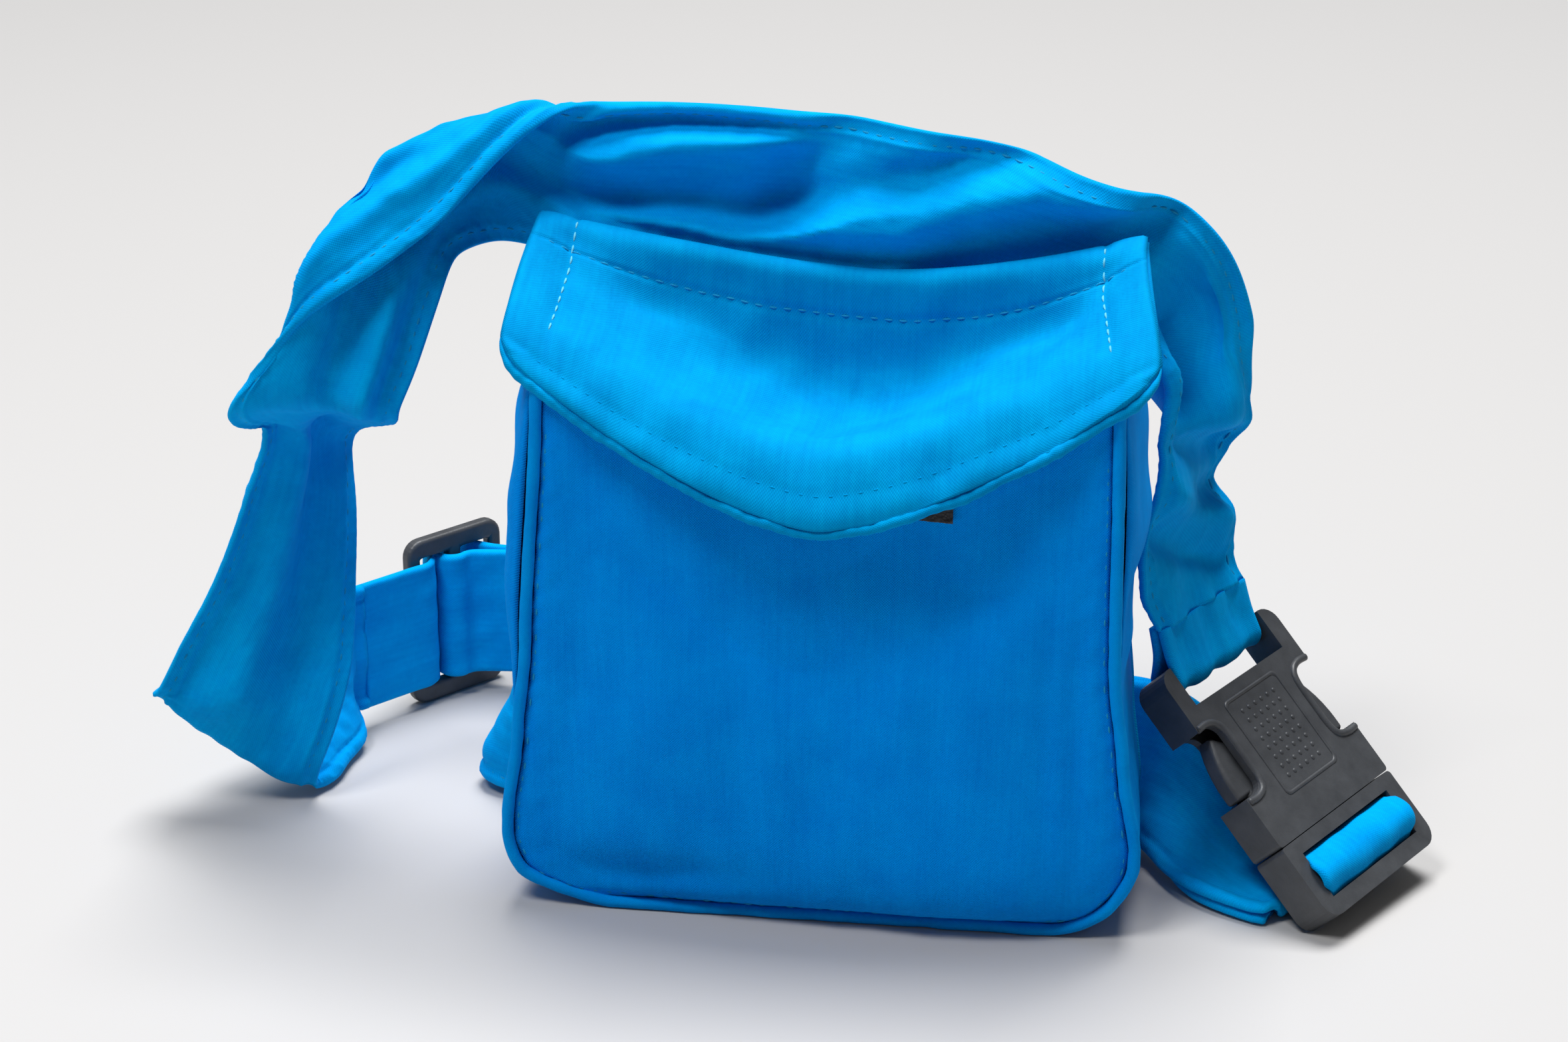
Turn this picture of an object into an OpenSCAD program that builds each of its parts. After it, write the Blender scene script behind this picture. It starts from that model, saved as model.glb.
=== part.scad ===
// Waist pouch with a flap, worn on a folded cloth belt with a side-release buckle.
// Millimetres, +Z up. The origin is the centre of the pouch's base, +X runs along its width
// and +Y points to the side that is worn against the body.

/* [Pouch] */
// Width over the side gusset at the base
pouch_w = 124; // [110:1:140]
// How much narrower the pouch is at its mouth
pouch_taper = 8; // [0:1:12]
// Depth from the front piping to the back panel
pouch_d = 40; // [34:1:48]
// Height of the back panel at its ends, where the flap is sewn on
back_h = 137.5; // [132:0.5:142]
// Sag of the back panel's top edge at the middle
back_sag = 9; // [5:1:11]
// How far the mouth's ends lie below the back panel's
mouth_drop = 25.5; // [24:0.5:28]
// Sag of the front panel's mouth edge at the middle
mouth_sag = 7; // [6:1:10]
// Radius of the lower corners
corner_r = 17; // [12:1:22]

/* [Cloth] */
// Thickness of the outer cloth
cloth_t = 1.2; // [0.8:0.1:1.4]
// Thickness of the lining
lining_t = 0.8; // [0.5:0.1:1.0]
// Diameter of the corded piping round the front panel
piping_d = 2.6; // [2.2:0.1:3.2]
// Depth of the hem folded over the front mouth edge
hem_h = 9; // [6:1:10]
// Thickness of the hook and loop patches
patch_t = 1.0; // [0.7:0.1:1.2]
// Width of the hook and loop patches
patch_w = 44; // [34:1:48]
// Height of the loop patch on the front panel
patch_h = 13; // [10:1:14]
// Diameter of the rolled edge along the flap's rim
rim_d = 3.0; // [2.4:0.1:3.4]

/* [Belt] */
// Width of the belt
belt_w = 38; // [36:1:39]
// Thickness of the doubled belt cloth
belt_t = 1.8; // [1.4:0.1:2.0]
// Width to which the belt is drawn in at the buckle and slider
pinch_w = 32; // [29:1:32]

/* [Buckle and slider] */
// Width of both buckle halves
buckle_w = 42; // [41:1:44]
// Thickness of both buckle halves
buckle_t = 9; // [8.6:0.1:9.6]
// Length of the socket half
socket_l = 44; // [44:1:47]
// Length of the plug half outside the socket
plug_l = 18; // [18:0.5:20]
// Wall of the socket
socket_wall = 1.9; // [1.6:0.1:2.0]
// Length of the collar that the prongs pass through
collar_l = 12.5; // [11:0.5:13]
// Length of the side windows
window_l = 17; // [16:0.5:18]
// Diameter of the bars that the belt is sewn round
bar_d = 3.4; // [3:0.1:3.6]
// Height of the slider across the belt
slider_h = 42; // [42:0.5:44]
// Length of the slider along the belt
slider_l = 27; // [26:0.5:28]
// Thickness of the slider
slider_t = 3.2; // [2.8:0.1:3.4]

/* [Clearances] */
// Gap between sewn pieces
seam_gap = 0.1; // [0.05:0.05:0.2]
// Gap round the moving plug and prongs
run_gap = 0.35; // [0.3:0.05:0.4]
// Gap between the belt and the bar that it goes round
wrap_gap = 0.3; // [0.2:0.05:0.35]
// Gap between the belt's edges and both ends of each slot together
slot_gap = 1; // [0.8:0.1:1.6]

/* [Hidden] */

BLUE = [0.0, 0.47, 0.80];
DEEP_BLUE = [0.0, 0.34, 0.64];
BRIGHT_BLUE = [0.0, 0.62, 0.88];
BLACK = [0.10, 0.11, 0.13];
FINE = 48;
EPS = 0.01;
half_w = pouch_w / 2;
half_top = (pouch_w - pouch_taper) / 2;
half_d = pouch_d / 2;
slot_l = pinch_w + slot_gap;
mouth_h = back_h - mouth_drop;
belt_k = belt_w / 38;

// ---------- vectors, curves and cloth ----------

function unit(v) = v / norm(v);
function lerp(a, b, k) = a + (b - a) * k;
function at(list, i) = list[max(0, min(len(list) - 1, i))];

// One point of a smooth curve through a list of points
function bend(p, i, k) =
    let (a = at(p, i - 1), b = at(p, i), c = at(p, i + 1), d = at(p, i + 2))
    (2 * b + (c - a) * k + (2 * a - 5 * b + 4 * c - d) * k * k
        + (3 * b - a - 3 * c + d) * k * k * k) / 2;

// Smooth curve through a list of points, with n steps from each to the next
function curve(p, n) =
    concat([for (i = [0 : len(p) - 2], k = [0 : n - 1]) bend(p, i, k / n)], [p[len(p) - 1]]);

function transpose(g) = [for (j = [0 : len(g[0]) - 1]) [for (i = [0 : len(g) - 1]) g[i][j]]];

// Smooth grid through control rows, n steps across each row and m steps from row to row
function smooth_grid(rows, n, m) =
    transpose([for (column = transpose([for (r = rows) curve(r, n)])) curve(column, m)]);

function grid_normal(g, i, j) =
    unit(cross(at(g[i], j + 1) - at(g[i], j - 1), at(g, i + 1)[j] - at(g, i - 1)[j]));

// Row of a grid, moved a little towards another row
function toward(row, other, d) = [for (j = [0 : len(row) - 1]) row[j] + d * unit(other[j] - row[j])];

// Closed cloth of one thickness on the rows of a grid from first to last, with one shift along
// the grid's normals for each row, and half a seam's gap left free at both ends
module sheet(grid, shift, t, first, last) {
    g = concat([toward(grid[first], grid[first + 1], seam_gap / 2)],
               [for (i = [first + 1 : last - 1]) grid[i]],
               [toward(grid[last], grid[last - 1], seam_gap / 2)]);
    rows = len(g);
    cols = len(g[0]);
    count = rows * cols;
    normals = [for (i = [first : last], j = [0 : cols - 1]) grid_normal(grid, i, j)];
    flat = [for (i = [0 : rows - 1], j = [0 : cols - 1]) g[i][j]];
    lift = [for (i = [first : last], j = [0 : cols - 1]) shift[i]];
    points = concat([for (k = [0 : count - 1]) flat[k] + normals[k] * (lift[k] + t / 2)],
                    [for (k = [0 : count - 1]) flat[k] + normals[k] * (lift[k] - t / 2)]);
    function id(i, j) = i * cols + j;
    top = [for (i = [0 : rows - 2], j = [0 : cols - 2])
        each [[id(i, j), id(i + 1, j), id(i + 1, j + 1)], [id(i, j), id(i + 1, j + 1), id(i, j + 1)]]];
    bottom = [for (f = top) [f[0] + count, f[2] + count, f[1] + count]];
    border = concat([for (j = [0 : cols - 1]) id(0, j)], [for (i = [1 : rows - 1]) id(i, cols - 1)],
                    [for (j = [cols - 2 : -1 : 0]) id(rows - 1, j)],
                    [for (i = [rows - 2 : -1 : 1]) id(i, 0)]);
    edges = len(border);
    wall = [for (k = [0 : edges - 1])
        let (a = border[k], b = border[(k + 1) % edges])
        each [[a, b, b + count], [a, b + count, a + count]]];
    polyhedron(points, concat(top, bottom, wall), convexity = 8);
}

function same(grid, value) = [for (row = grid) value];

// Outline of a flat strip that follows a path in the plane
function strip(path, t) =
    let (last = len(path) - 1,
         side = [for (i = [0 : last])
            let (d = unit(at(path, i + 1) - at(path, i - 1))) [-d[1], d[0]] * t / 2])
    concat([for (i = [0 : last]) path[i] + side[i]], [for (i = [last : -1 : 0]) path[i] - side[i]]);

function arc(centre, r, from, to, n) =
    [for (i = [0 : n]) centre + r * [cos(lerp(from, to, i / n)), sin(lerp(from, to, i / n))]];

// ---------- pouch ----------

// Half width of the pouch at a height, drawn in by an inset
function side_at(z, inset) = lerp(half_w, half_top, z / mouth_h) - inset;

// Side and base outline from the left top round to the right top, at an inset
function pouch_line(inset, top) =
    let (r = corner_r - inset, low = side_at(corner_r, inset) - r)
    concat([[-side_at(top, inset), top]],
           arc([-low, corner_r], r, 180, 270, 8), arc([low, corner_r], r, 270, 360, 8),
           [[side_at(top, inset), top]]);

// Sagging edge from right to left, such as the mouth or the back panel's top
function sag_line(half, ends, sag) =
    [for (i = [0 : 12]) let (u = 1 - i / 6) [u * half, ends - sag * (1 - pow(abs(u), 1.6))]];

// Plate in the XZ plane, from one depth to another
module upright(outline, from, to) {
    translate([0, to, 0]) rotate([90, 0, 0]) linear_extrude(to - from) polygon(outline);
}

front_inset = piping_d + seam_gap;
front_y = -half_d + (piping_d - cloth_t) / 2;
inner_y = half_d - cloth_t;
gusset_y = -half_d + piping_d;

module front_panel() {
    color(BLUE) upright(
        concat([for (p = pouch_line(front_inset, mouth_h)) p],
               [for (p = sag_line(side_at(mouth_h, front_inset), mouth_h, mouth_sag)) p]),
        front_y, front_y + cloth_t);
}

module back_panel() {
    color(DEEP_BLUE) upright(
        concat(pouch_line(0, mouth_h), sag_line(half_top, back_h, back_sag)), inner_y, half_d);
}

module side_gusset() {
    inner = pouch_line(cloth_t, mouth_h);
    color(BLUE) upright(
        concat(pouch_line(0, mouth_h), [for (i = [len(inner) - 1 : -1 : 0]) inner[i]]),
        gusset_y, inner_y);
}

module front_piping() {
    r = piping_d / 2;
    low = side_at(corner_r, r) - (corner_r - r);
    lean = atan((side_at(corner_r, r) - side_at(mouth_h, r)) / (mouth_h - corner_r));
    color(BRIGHT_BLUE) translate([0, gusset_y - r, 0]) {
        translate([-low, 0, r]) rotate([0, 90, 0]) cylinder(h = 2 * low, r = r, $fn = FINE);
        for (s = [-1, 1]) {
            translate([s * low, 0, corner_r]) rotate([90, 0, 0])
                rotate([0, 0, s > 0 ? -90 : 180]) rotate_extrude(angle = 90, $fn = FINE)
                    translate([corner_r - r, 0]) circle(r = r, $fn = FINE);
            translate([s * side_at(corner_r, r), 0, corner_r]) rotate([0, -s * lean, 0])
                cylinder(h = (mouth_h - corner_r) / cos(lean), r = r, $fn = FINE);
        }
    }
}

// Depth of the lining's outer faces
lining_front = front_y + cloth_t + seam_gap;
lining_back = inner_y - seam_gap;
lining_inset = piping_d + 2 * seam_gap;
lining_top = mouth_h - mouth_sag - hem_h;

module lining() {
    outer = pouch_line(lining_inset, lining_top);
    inner = pouch_line(lining_inset + lining_t, lining_top + EPS);
    color(DEEP_BLUE) difference() {
        upright(outer, lining_front, lining_back);
        upright(inner, lining_front + lining_t, lining_back - lining_t);
    }
}

module mouth_hem() {
    edge = sag_line(side_at(mouth_h, front_inset) - seam_gap, mouth_h - seam_gap, mouth_sag);
    color(BLUE) upright(
        concat(edge, [for (i = [len(edge) - 1 : -1 : 0]) edge[i] - [0, hem_h - seam_gap]]),
        lining_front, lining_front + cloth_t);
}

patch_z = mouth_h - mouth_sag - 2;

module loop_patch() {
    color(BLACK) translate([-patch_w / 2, front_y - seam_gap - patch_t, patch_z - patch_h])
        cube([patch_w, patch_t, patch_h]);
}

// ---------- flap ----------

hinge_y = half_d + 0.1;
hinge_z = back_h + 2.9;
flap_gap = seam_gap / 2;

// Depth and height of the flap's rows at its middle and at its sides, from the sewn edge down
flap_middle = [[half_d + 0.1, back_h - back_sag + 2.3], [half_d - 3.2, back_h - back_sag + 0.9],
               [half_d - 5.5, back_h - 17], [half_d - 12, back_h - 24], [half_d - 21, back_h - 27.7],
               [9.5 - half_d, back_h - 29.3], [0.5 - half_d, back_h - 30], [-half_d - 6, back_h - 36],
               [-half_d - 9.5, back_h - 44]];
flap_side = [[half_d + 0.1, hinge_z], [half_d - 3, hinge_z - 0.4], [half_d - 7.5, hinge_z - 1.4],
             [half_d - 12.5, hinge_z - 3], [half_d - 17.5, hinge_z - 5.1], [17.5 - half_d, hinge_z - 7.6],
             [12.5 - half_d, hinge_z - 10.4], [7.5 - half_d, hinge_z - 13.8], [3 - half_d, hinge_z - 17.5]];
// Reach of each row past the pouch's top half width
flap_reach = [5, 5, 5.2, 5.5, 6, 6.6, 7.2, 7.8, 8];
// How far each row is drawn to the left
flap_skew = [3, 3, 3, 2.8, 2.6, 2.3, 2, 1.7, 1.5];
// How far the lowest point of each row lies right of its middle, as a share of the half width
flap_lean = [0.14, 0.13, 0.11, 0.08, 0.05, 0.02, 0, 0, 0];
// How square each row is across, from a plain V up to a flat middle
flap_form = [1.6, 1.6, 1.6, 1.7, 1.8, 1.9, 1.8, 1.5, 1.5];
flap_cols = 16;
flap_steps = 2;
flap_last = 16;
rim_reach = 0.985;

function flap_point(r, u) =
    let (side = abs(u - flap_lean[r] * (1 - u * u)),
         p = lerp(flap_middle[r], flap_side[r], pow(side, flap_form[r])))
    [u * (half_top + flap_reach[r]) - flap_skew[r], p[0], p[1]];

function flap_row(r, reach) = [for (i = [0 : flap_cols]) flap_point(r, (2 * i / flap_cols - 1) * reach)];

// Rows of the flap over a share of its width
function flap_grid(reach) =
    transpose([for (column = transpose([for (r = [0 : 8]) flap_row(r, reach)])) curve(column, flap_steps)]);

flap = flap_grid(1);

module flap_outer() {
    color(BRIGHT_BLUE) sheet(flap, same(flap, -flap_gap - cloth_t / 2), cloth_t, 0, flap_last);
}

module flap_lining() {
    color(DEEP_BLUE) sheet(flap, same(flap, flap_gap + cloth_t / 2), cloth_t, 0, flap_last);
}

module flap_rim() {
    edge = flap_row(8, rim_reach);
    above = flap_row(7, rim_reach);
    path = [for (i = [0 : flap_cols]) edge[i] + (rim_d / 2 + 3 * seam_gap) * unit(edge[i] - above[i])];
    color(BRIGHT_BLUE) tube(path, rim_d / 2, 8);
}

module hook_patch() {
    patch = flap_grid(patch_w / 2 / (half_top + flap_reach[7]));
    color(BLACK) sheet(patch, same(patch, flap_gap + cloth_t + seam_gap + patch_t / 2), patch_t,
                       flap_last - 3, flap_last - 1);
}

// Round tube that follows a path
module tube(path, r, sides) {
    last = len(path) - 1;
    rings = [for (i = [0 : last])
        let (d = unit(at(path, i + 1) - at(path, i - 1)), a = unit(cross(d, [0, 1, 0])), b = cross(d, a))
        [for (k = [0 : sides - 1]) path[i] + r * (a * cos(360 * k / sides) + b * sin(360 * k / sides))]];
    faces = [for (i = [0 : last - 1], k = [0 : sides - 1])
        let (m = (k + 1) % sides)
        each [[i * sides + k, (i + 1) * sides + k, (i + 1) * sides + m],
              [i * sides + k, (i + 1) * sides + m, i * sides + m]]];
    caps = [for (k = [1 : sides - 2])
        each [[0, k, k + 1], [last * sides, last * sides + k + 1, last * sides + k]]];
    polyhedron([for (ring = rings) each ring], concat(faces, caps), convexity = 8);
}

// ---------- buckle ----------
// In the buckle's own frame X runs across it, +Y up the belt towards the socket's bar, +Z out of
// its face, and the seam between the two halves lies at Y = 0.

buckle_turn = [44, -3, 57];
buckle_x = half_w + 40.4;
buckle_y = half_d - 10.4;

function rotated(p, a) =
    let (x = [p[0], p[1] * cos(a[0]) - p[2] * sin(a[0]), p[1] * sin(a[0]) + p[2] * cos(a[0])],
         y = [x[0] * cos(a[1]) + x[2] * sin(a[1]), x[1], -x[0] * sin(a[1]) + x[2] * cos(a[1])])
    [y[0] * cos(a[2]) - y[1] * sin(a[2]), y[0] * sin(a[2]) + y[1] * cos(a[2]), y[2]];

// The plug's outer end stands on the floor
buckle_z = -min([for (x = [-1, 1], z = [-1, 1])
    rotated([x * buckle_w / 2, -plug_l, z * buckle_t / 2], buckle_turn)[2]]);
buckle_at = [buckle_x, buckle_y, buckle_z];

function on_buckle(p) = buckle_at + rotated(p, buckle_turn);

module in_buckle() {
    translate(buckle_at) rotate(buckle_turn) children();
}

shoulder_r = 4;
seam_r = 1;
slot_w = 4.6;
socket_slot = 34.5;
socket_bar = socket_l - bar_d / 2 - 0.2;
cavity_w = buckle_w - 2 * 4;
cavity_t = buckle_t - 2 * socket_wall;
window_in = 6.5;
window_r = 3;
plug_bar = plug_l / 2;
plug_beam = 3.3;
plug_rim = 3.8;

// Plate between two lengths along the buckle, with its own corner radius at each end
module buckle_plate(low, high, low_r, high_r) {
    top = buckle_w / 2 - high_r;
    foot = buckle_w / 2 - low_r;
    translate([0, 0, -buckle_t / 2]) linear_extrude(buckle_t)
        polygon(concat(arc([top, high - high_r], high_r, 0, 90, 6),
                       arc([-top, high - high_r], high_r, 90, 180, 6),
                       arc([-foot, low + low_r], low_r, 180, 270, 6),
                       arc([foot, low + low_r], low_r, 270, 360, 6)));
}

// Opening in the socket's side for a thumb tab, with rounded inner corners
module side_window() {
    near = buckle_w / 2 - window_in;
    far = buckle_w / 2 + window_in;
    high = collar_l + window_l;
    translate([0, 0, -buckle_t]) linear_extrude(2 * buckle_t)
        polygon(concat(arc([near + window_r, collar_l + window_r], window_r, 180, 270, 6),
                       [[far, collar_l], [far, high]],
                       arc([near + window_r, high - window_r], window_r, 90, 180, 6)));
}

module buckle_female() {
    color(BLACK) in_buckle() {
        difference() {
            buckle_plate(seam_gap, socket_l, seam_r, shoulder_r);
            translate([-cavity_w / 2, -EPS, -cavity_t / 2]) cube([cavity_w, socket_slot - 3, cavity_t]);
            translate([-slot_l / 2, socket_slot, -buckle_t])
                cube([slot_l, socket_l - socket_slot + 1, 2 * buckle_t]);
            for (s = [0, 1])
                mirror([s, 0, 0]) side_window();
        }
        translate([-slot_l / 2 - 1, socket_bar, 0]) rotate([0, 90, 0])
            cylinder(h = slot_l + 2, r = bar_d / 2, $fn = FINE);
    }
}

// Half width and thickness of what slides in the socket
plug_half = cavity_w / 2 - run_gap;
plug_t = cavity_t - 2 * run_gap;
prong_w = 3.6;
prong_x = plug_half - prong_w / 2;
prong_root = 2.5;
barb_out = 3.4;
tongue_w = 8;
tongue_l = 26;

module buckle_male() {
    color(BLACK) in_buckle() {
        difference() {
            buckle_plate(-plug_l, -seam_gap, shoulder_r, seam_r);
            translate([-slot_l / 2, plug_rim - plug_l, -buckle_t])
                cube([slot_l, plug_l - plug_rim - plug_beam, 2 * buckle_t]);
        }
        translate([-slot_l / 2 - 1, -plug_bar, 0]) rotate([0, 90, 0])
            cylinder(h = slot_l + 2, r = bar_d / 2, $fn = FINE);
        // Root that carries the prongs and the tongue, just inside the socket's mouth
        translate([-plug_half + prong_w + run_gap, -EPS - seam_gap, -plug_t / 2])
            cube([2 * (plug_half - prong_w - run_gap), prong_root + EPS, plug_t]);
    }
}

module male_tongue() {
    color(BLACK) in_buckle() translate([-tongue_w / 2, prong_root, -plug_t / 2])
        cube([tongue_w, tongue_l - prong_root, plug_t]);
}

// Springy arm with a barbed thumb tab that fills a side window
module prong(s) {
    tab_low = collar_l + run_gap;
    tab_high = collar_l + window_l - 2;
    inner = prong_x - prong_w / 2;
    outer = prong_x + prong_w / 2;
    color(BLACK) in_buckle() mirror([s < 0 ? 1 : 0, 0, 0])
        translate([0, 0, -plug_t / 2]) linear_extrude(plug_t)
            polygon(concat([[inner, run_gap], [outer, run_gap]],
                           [[outer, tab_low], [outer + barb_out, tab_low]],
                           [for (i = [0 : 6]) let (k = i / 6)
                               [outer + barb_out * (1 - k * k), lerp(tab_low + 3, tab_high, k)]],
                           [[inner, tab_high - 3]]));
}

module male_prong_left() {
    prong(-1);
}

module male_prong_right() {
    prong(1);
}

// ---------- slider ----------
// In the slider's own frame X runs along the belt, Z up the bars, and -Y is its front.

slider_turn = 49;
slider_at = [-half_w - 40, half_d + 60, 0.3];
rail = (slider_h - slot_l) / 2;
bar_w = 3.6;
slider_r = 4;
slider_pitch = (slider_l - bar_w) / 2;
slider_mid = slider_h / 2;

function on_slider(p) = slider_at + rotated(p, [0, 0, slider_turn]);

module in_slider() {
    translate(slider_at) rotate([0, 0, slider_turn]) children();
}

module slider_frame() {
    slot = slider_pitch - bar_w;
    right = slider_l / 2 - slider_r;
    color(BLACK) in_slider() translate([0, slider_t / 2, 0]) rotate([90, 0, 0]) difference() {
        linear_extrude(slider_t)
            polygon(concat(arc([right, slider_h - slider_r], slider_r, 0, 90, 6),
                           arc([-right, slider_h - slider_r], slider_r, 90, 180, 6),
                           arc([-right, slider_r], slider_r, 180, 270, 6),
                           arc([right, slider_r], slider_r, 270, 360, 6)));
        for (s = [-1, 1])
            translate([s * slider_pitch / 2 - slot / 2, rail, -1]) cube([slot, slot_l, slider_t + 2]);
    }
}

// ---------- belt round the hardware ----------

wrap_r = bar_d / 2 + wrap_gap + belt_t / 2;
loop_tilt = 38;
loop_leg = 12;
leg_y = socket_bar + loop_leg * cos(loop_tilt);
leg_up = loop_leg * sin(loop_tilt);

// Hairpin of belt round a bar along X, with legs along +Y that close up to each other
module hairpin(leg, close) {
    path = concat([[leg, -close], [wrap_r + 3, -close]], arc([0, 0], wrap_r, 300, 60, 14),
                  [[wrap_r + 3, close], [leg, close]]);
    translate([-pinch_w / 2, 0, 0]) rotate([90, 0, 90]) linear_extrude(pinch_w) polygon(strip(path, belt_t));
}

module belt_female_loop() {
    color(BRIGHT_BLUE) in_buckle() translate([0, socket_bar, 0]) rotate([loop_tilt, 0, 0])
        hairpin(loop_leg, belt_t / 2 + seam_gap / 2);
}

plug_leg = buckle_t / 2 + 1;

module belt_male_loop() {
    path = concat([[-plug_leg, wrap_r]], arc([0, 0], wrap_r, 90, -90, 14), [[-plug_leg, -wrap_r]]);
    color(BRIGHT_BLUE) in_buckle() translate([-pinch_w / 2, -plug_bar, 0])
        rotate([90, 0, 90]) linear_extrude(pinch_w) polygon(strip([for (p = path) [p[1], p[0]]], belt_t));
}

// Depth of cloth layer n on the slider's face, and round its middle bar
function layer_y(n) = slider_t / 2 + wrap_gap + belt_t / 2 + n * (belt_t + wrap_gap);
function layer_r(n) = norm([slider_t, bar_w]) / 2 + wrap_gap + belt_t / 2 + n * (belt_t + wrap_gap);
weave_from = -28;
leave_turn = -slider_turn;
// Where both layers leave the slider, and the way square to them
leave_at = [15, -13.5];
leave_way = [cos(leave_turn), sin(leave_turn)];
leave_side = [sin(leave_turn), -cos(leave_turn)];
layer_gap = 0.6;
layer_shift = (belt_t + layer_gap) / 2;

module slider_cloth(path) {
    in_slider() translate([0, 0, slider_mid - pinch_w / 2])
        linear_extrude(pinch_w) polygon(strip(path, belt_t));
}

module belt_slider_weave() {
    last = leave_at - leave_side * layer_shift;
    path = curve([[weave_from, -layer_y(0)], [-slider_pitch - 3, -layer_y(0)],
                  [bar_w - slider_pitch - 1, -layer_y(0)], [-layer_r(1) - 0.1, 0.2], [-4.7, layer_r(1) - 2.1],
                  [0, layer_r(1)], [4.6, layer_r(1) - 2.0], [7.0, 0.6], [9.4, -4.6],
                  last - 4 * leave_way, last], 3);
    color(DEEP_BLUE) slider_cloth(path);
}

module belt_end_loop() {
    last = leave_at + leave_side * layer_shift;
    path = concat([last, last - 4 * leave_way, [4.2, -4.4]],
                  arc([0, 0], layer_r(0), 292, 60, 14));
    color(BLUE) slider_cloth(path);
}

// ---------- belt cloth ----------
// Each row across the belt is [upper or outer edge, middle, lower or inner edge]. Rows run from the
// socket up over the pouch's back, round the left side to the slider, and on to the plug.

// Row of the belt at a place in the buckle's frame
function buckle_row(y, z) = [for (x = [1, 0, -1]) on_buckle([x * pinch_w / 2, y, z])];

// Row of the belt at a place in the slider's frame
function slider_row(p) = [for (k = [1, 0, -1]) on_slider([p[0], p[1], slider_mid + k * pinch_w / 2])];

// Row scaled to the belt's width from its lower or inner edge
function widened(row) = [for (p = row) lerp(row[2], p, belt_k)];

upper_route = [
    [[82, 42, 68], [75.5, 31, 67], [65, 11, 66]],
    [[78, 45, 79], [72.5, 34, 78], [65, 12, 76]],
    [[81, 43, 90], [75, 35, 89], [66, 13, 86]],
    [[84, 40, 104], [76, 33, 102], [66, 14, 96]],
    [[82, 37, 120], [74, 37, 112], [66, 16, 103]],
    [[76, 34, 136], [70, 35, 124], [66, 19, 110]],
    [[64, 30, 147], [62, 30, 133], [60, 22.5, 114]],
    [[50, 27, 151], [50, 27, 139], [50, 21.6, 116]],
    [[30, 28, 157], [30, 27, 143], [30, 21.5, 120]],
    [[10, 29, 160], [10, 27.5, 146], [10, 21.5, 122]],
    [[-10, 30, 162], [-10, 28, 148], [-10, 21.5, 124]],
    [[-30, 30, 163], [-30, 28, 149], [-30, 21.5, 125]],
    [[-50, 29, 163], [-50, 28, 149], [-50, 21.6, 125]],
    [[-60, 24, 163], [-64, 29, 155], [-61, 22, 131]],
    [[-70, 14, 157], [-75, 25, 161], [-71, 24, 133]],
    [[-79, 10, 147], [-86, 19, 159], [-77, 24, 133]],
    [[-85, 5, 141], [-95, 14, 154], [-81, 18, 133]],
    [[-91, 2, 137], [-101, 10, 148], [-83, 14, 132]],
    [[-98, -3, 132], [-105, 5, 143], [-84, 10, 128]],
    [[-110, -6, 125], [-107, 0, 135], [-87, 8, 119]],
    [[-118, -7, 115], [-109, -3, 124], [-90, 6, 110]],
    [[-128, -6, 103.5], [-112.5, -4, 108], [-94, 4, 100.5]],
    [[-127, 0, 98], [-113, 4, 101], [-96, 12, 96]],
    [[-123, 6, 95], [-118, 20, 90], [-113, 37, 83]],
    [[-129, 7, 78], [-121, 20, 73], [-112, 34, 68]],
    [[-138, 8, 57], [-126, 18, 53], [-112, 30, 49]],
    [[-146, 8, 43], [-130, 17, 40], [-112, 26, 37]],
    [[-152, 8, 31], [-133, 15, 29], [-113, 22, 27]],
    [[-153.5, 9, 30.5], [-137, 14.5, 20], [-119, 20, 9]],
    [[-154, 11, 29.5], [-139, 15.5, 15], [-123, 20.5, 1.4]],
    [[-148.5, 18.5, 32], [-133.5, 23.5, 17], [-118, 28, 1.4]],
    [[-138, 30, 35], [-128, 32.5, 18], [-118, 35, 1.4]],
    [[-126, 47, 37], [-122, 47, 19], [-117, 46, 1.6]]];
// Last row of the fall, the band, the arch and the hanging part
fall_rows = 8;
band_rows = 13;
arch_rows = 22;
hang_rows = 30;

adjust_route = [
    [[-60, 82, 38], [-60, 82, 20], [-60, 82, 1.2]],
    [[-20, 81, 38.5], [-20, 81, 20], [-20, 81, 1.2]],
    [[12, 78, 39], [12, 78, 20], [12, 78, 1.2]],
    [[32, 71, 39], [32, 71, 20], [32, 71, 1.2]],
    [[40, 60, 39], [40, 60, 20], [40, 60, 1.2]],
    [[32, 49, 39], [32, 49, 20], [32, 49, 1.2]],
    [[12, 42, 39], [12, 42, 20], [12, 42, 1.2]],
    [[-20, 40, 38.5], [-20, 40, 20], [-20, 40, 1.2]],
    [[-54, 41, 38], [-56, 41, 20], [-58, 41, 1.2]],
    [[-66, 40.5, 36], [-72, 40, 19], [-78, 40, 1.8]],
    [[-71, 36, 35], [-79, 35.5, 18], [-86.5, 35, 2.6]],
    [[-67, 30, 36], [-74, 29, 19], [-81, 29, 1.8]],
    [[-52, 27, 38], [-56, 26.5, 20], [-60, 26.5, 1.2]],
    [[-15, 26, 38.5], [-16, 26, 20], [-17, 26, 1.2]],
    [[30, 26.5, 38.5], [30, 26.5, 20], [30, 26.5, 1.2]],
    [[60, 29, 38], [60, 28, 20], [60, 26, 1.6]],
    [[71, 31, 35], [69, 24, 16], [67, 13, 2.4]],
    [[81, 30, 27], [77, 17, 9], [73, 0, 2.4]],
    [[90, 28, 17], [86, 11.5, 5], [83, -7, 2.4]],
    [[98, 26, 10], [94, 9, 4.2], [90.5, -10, 2.6]]];
// Row where the two layers come out from behind the pouch
lead_rows = 18;
leg_z = -plug_leg - wrap_gap;
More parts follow.
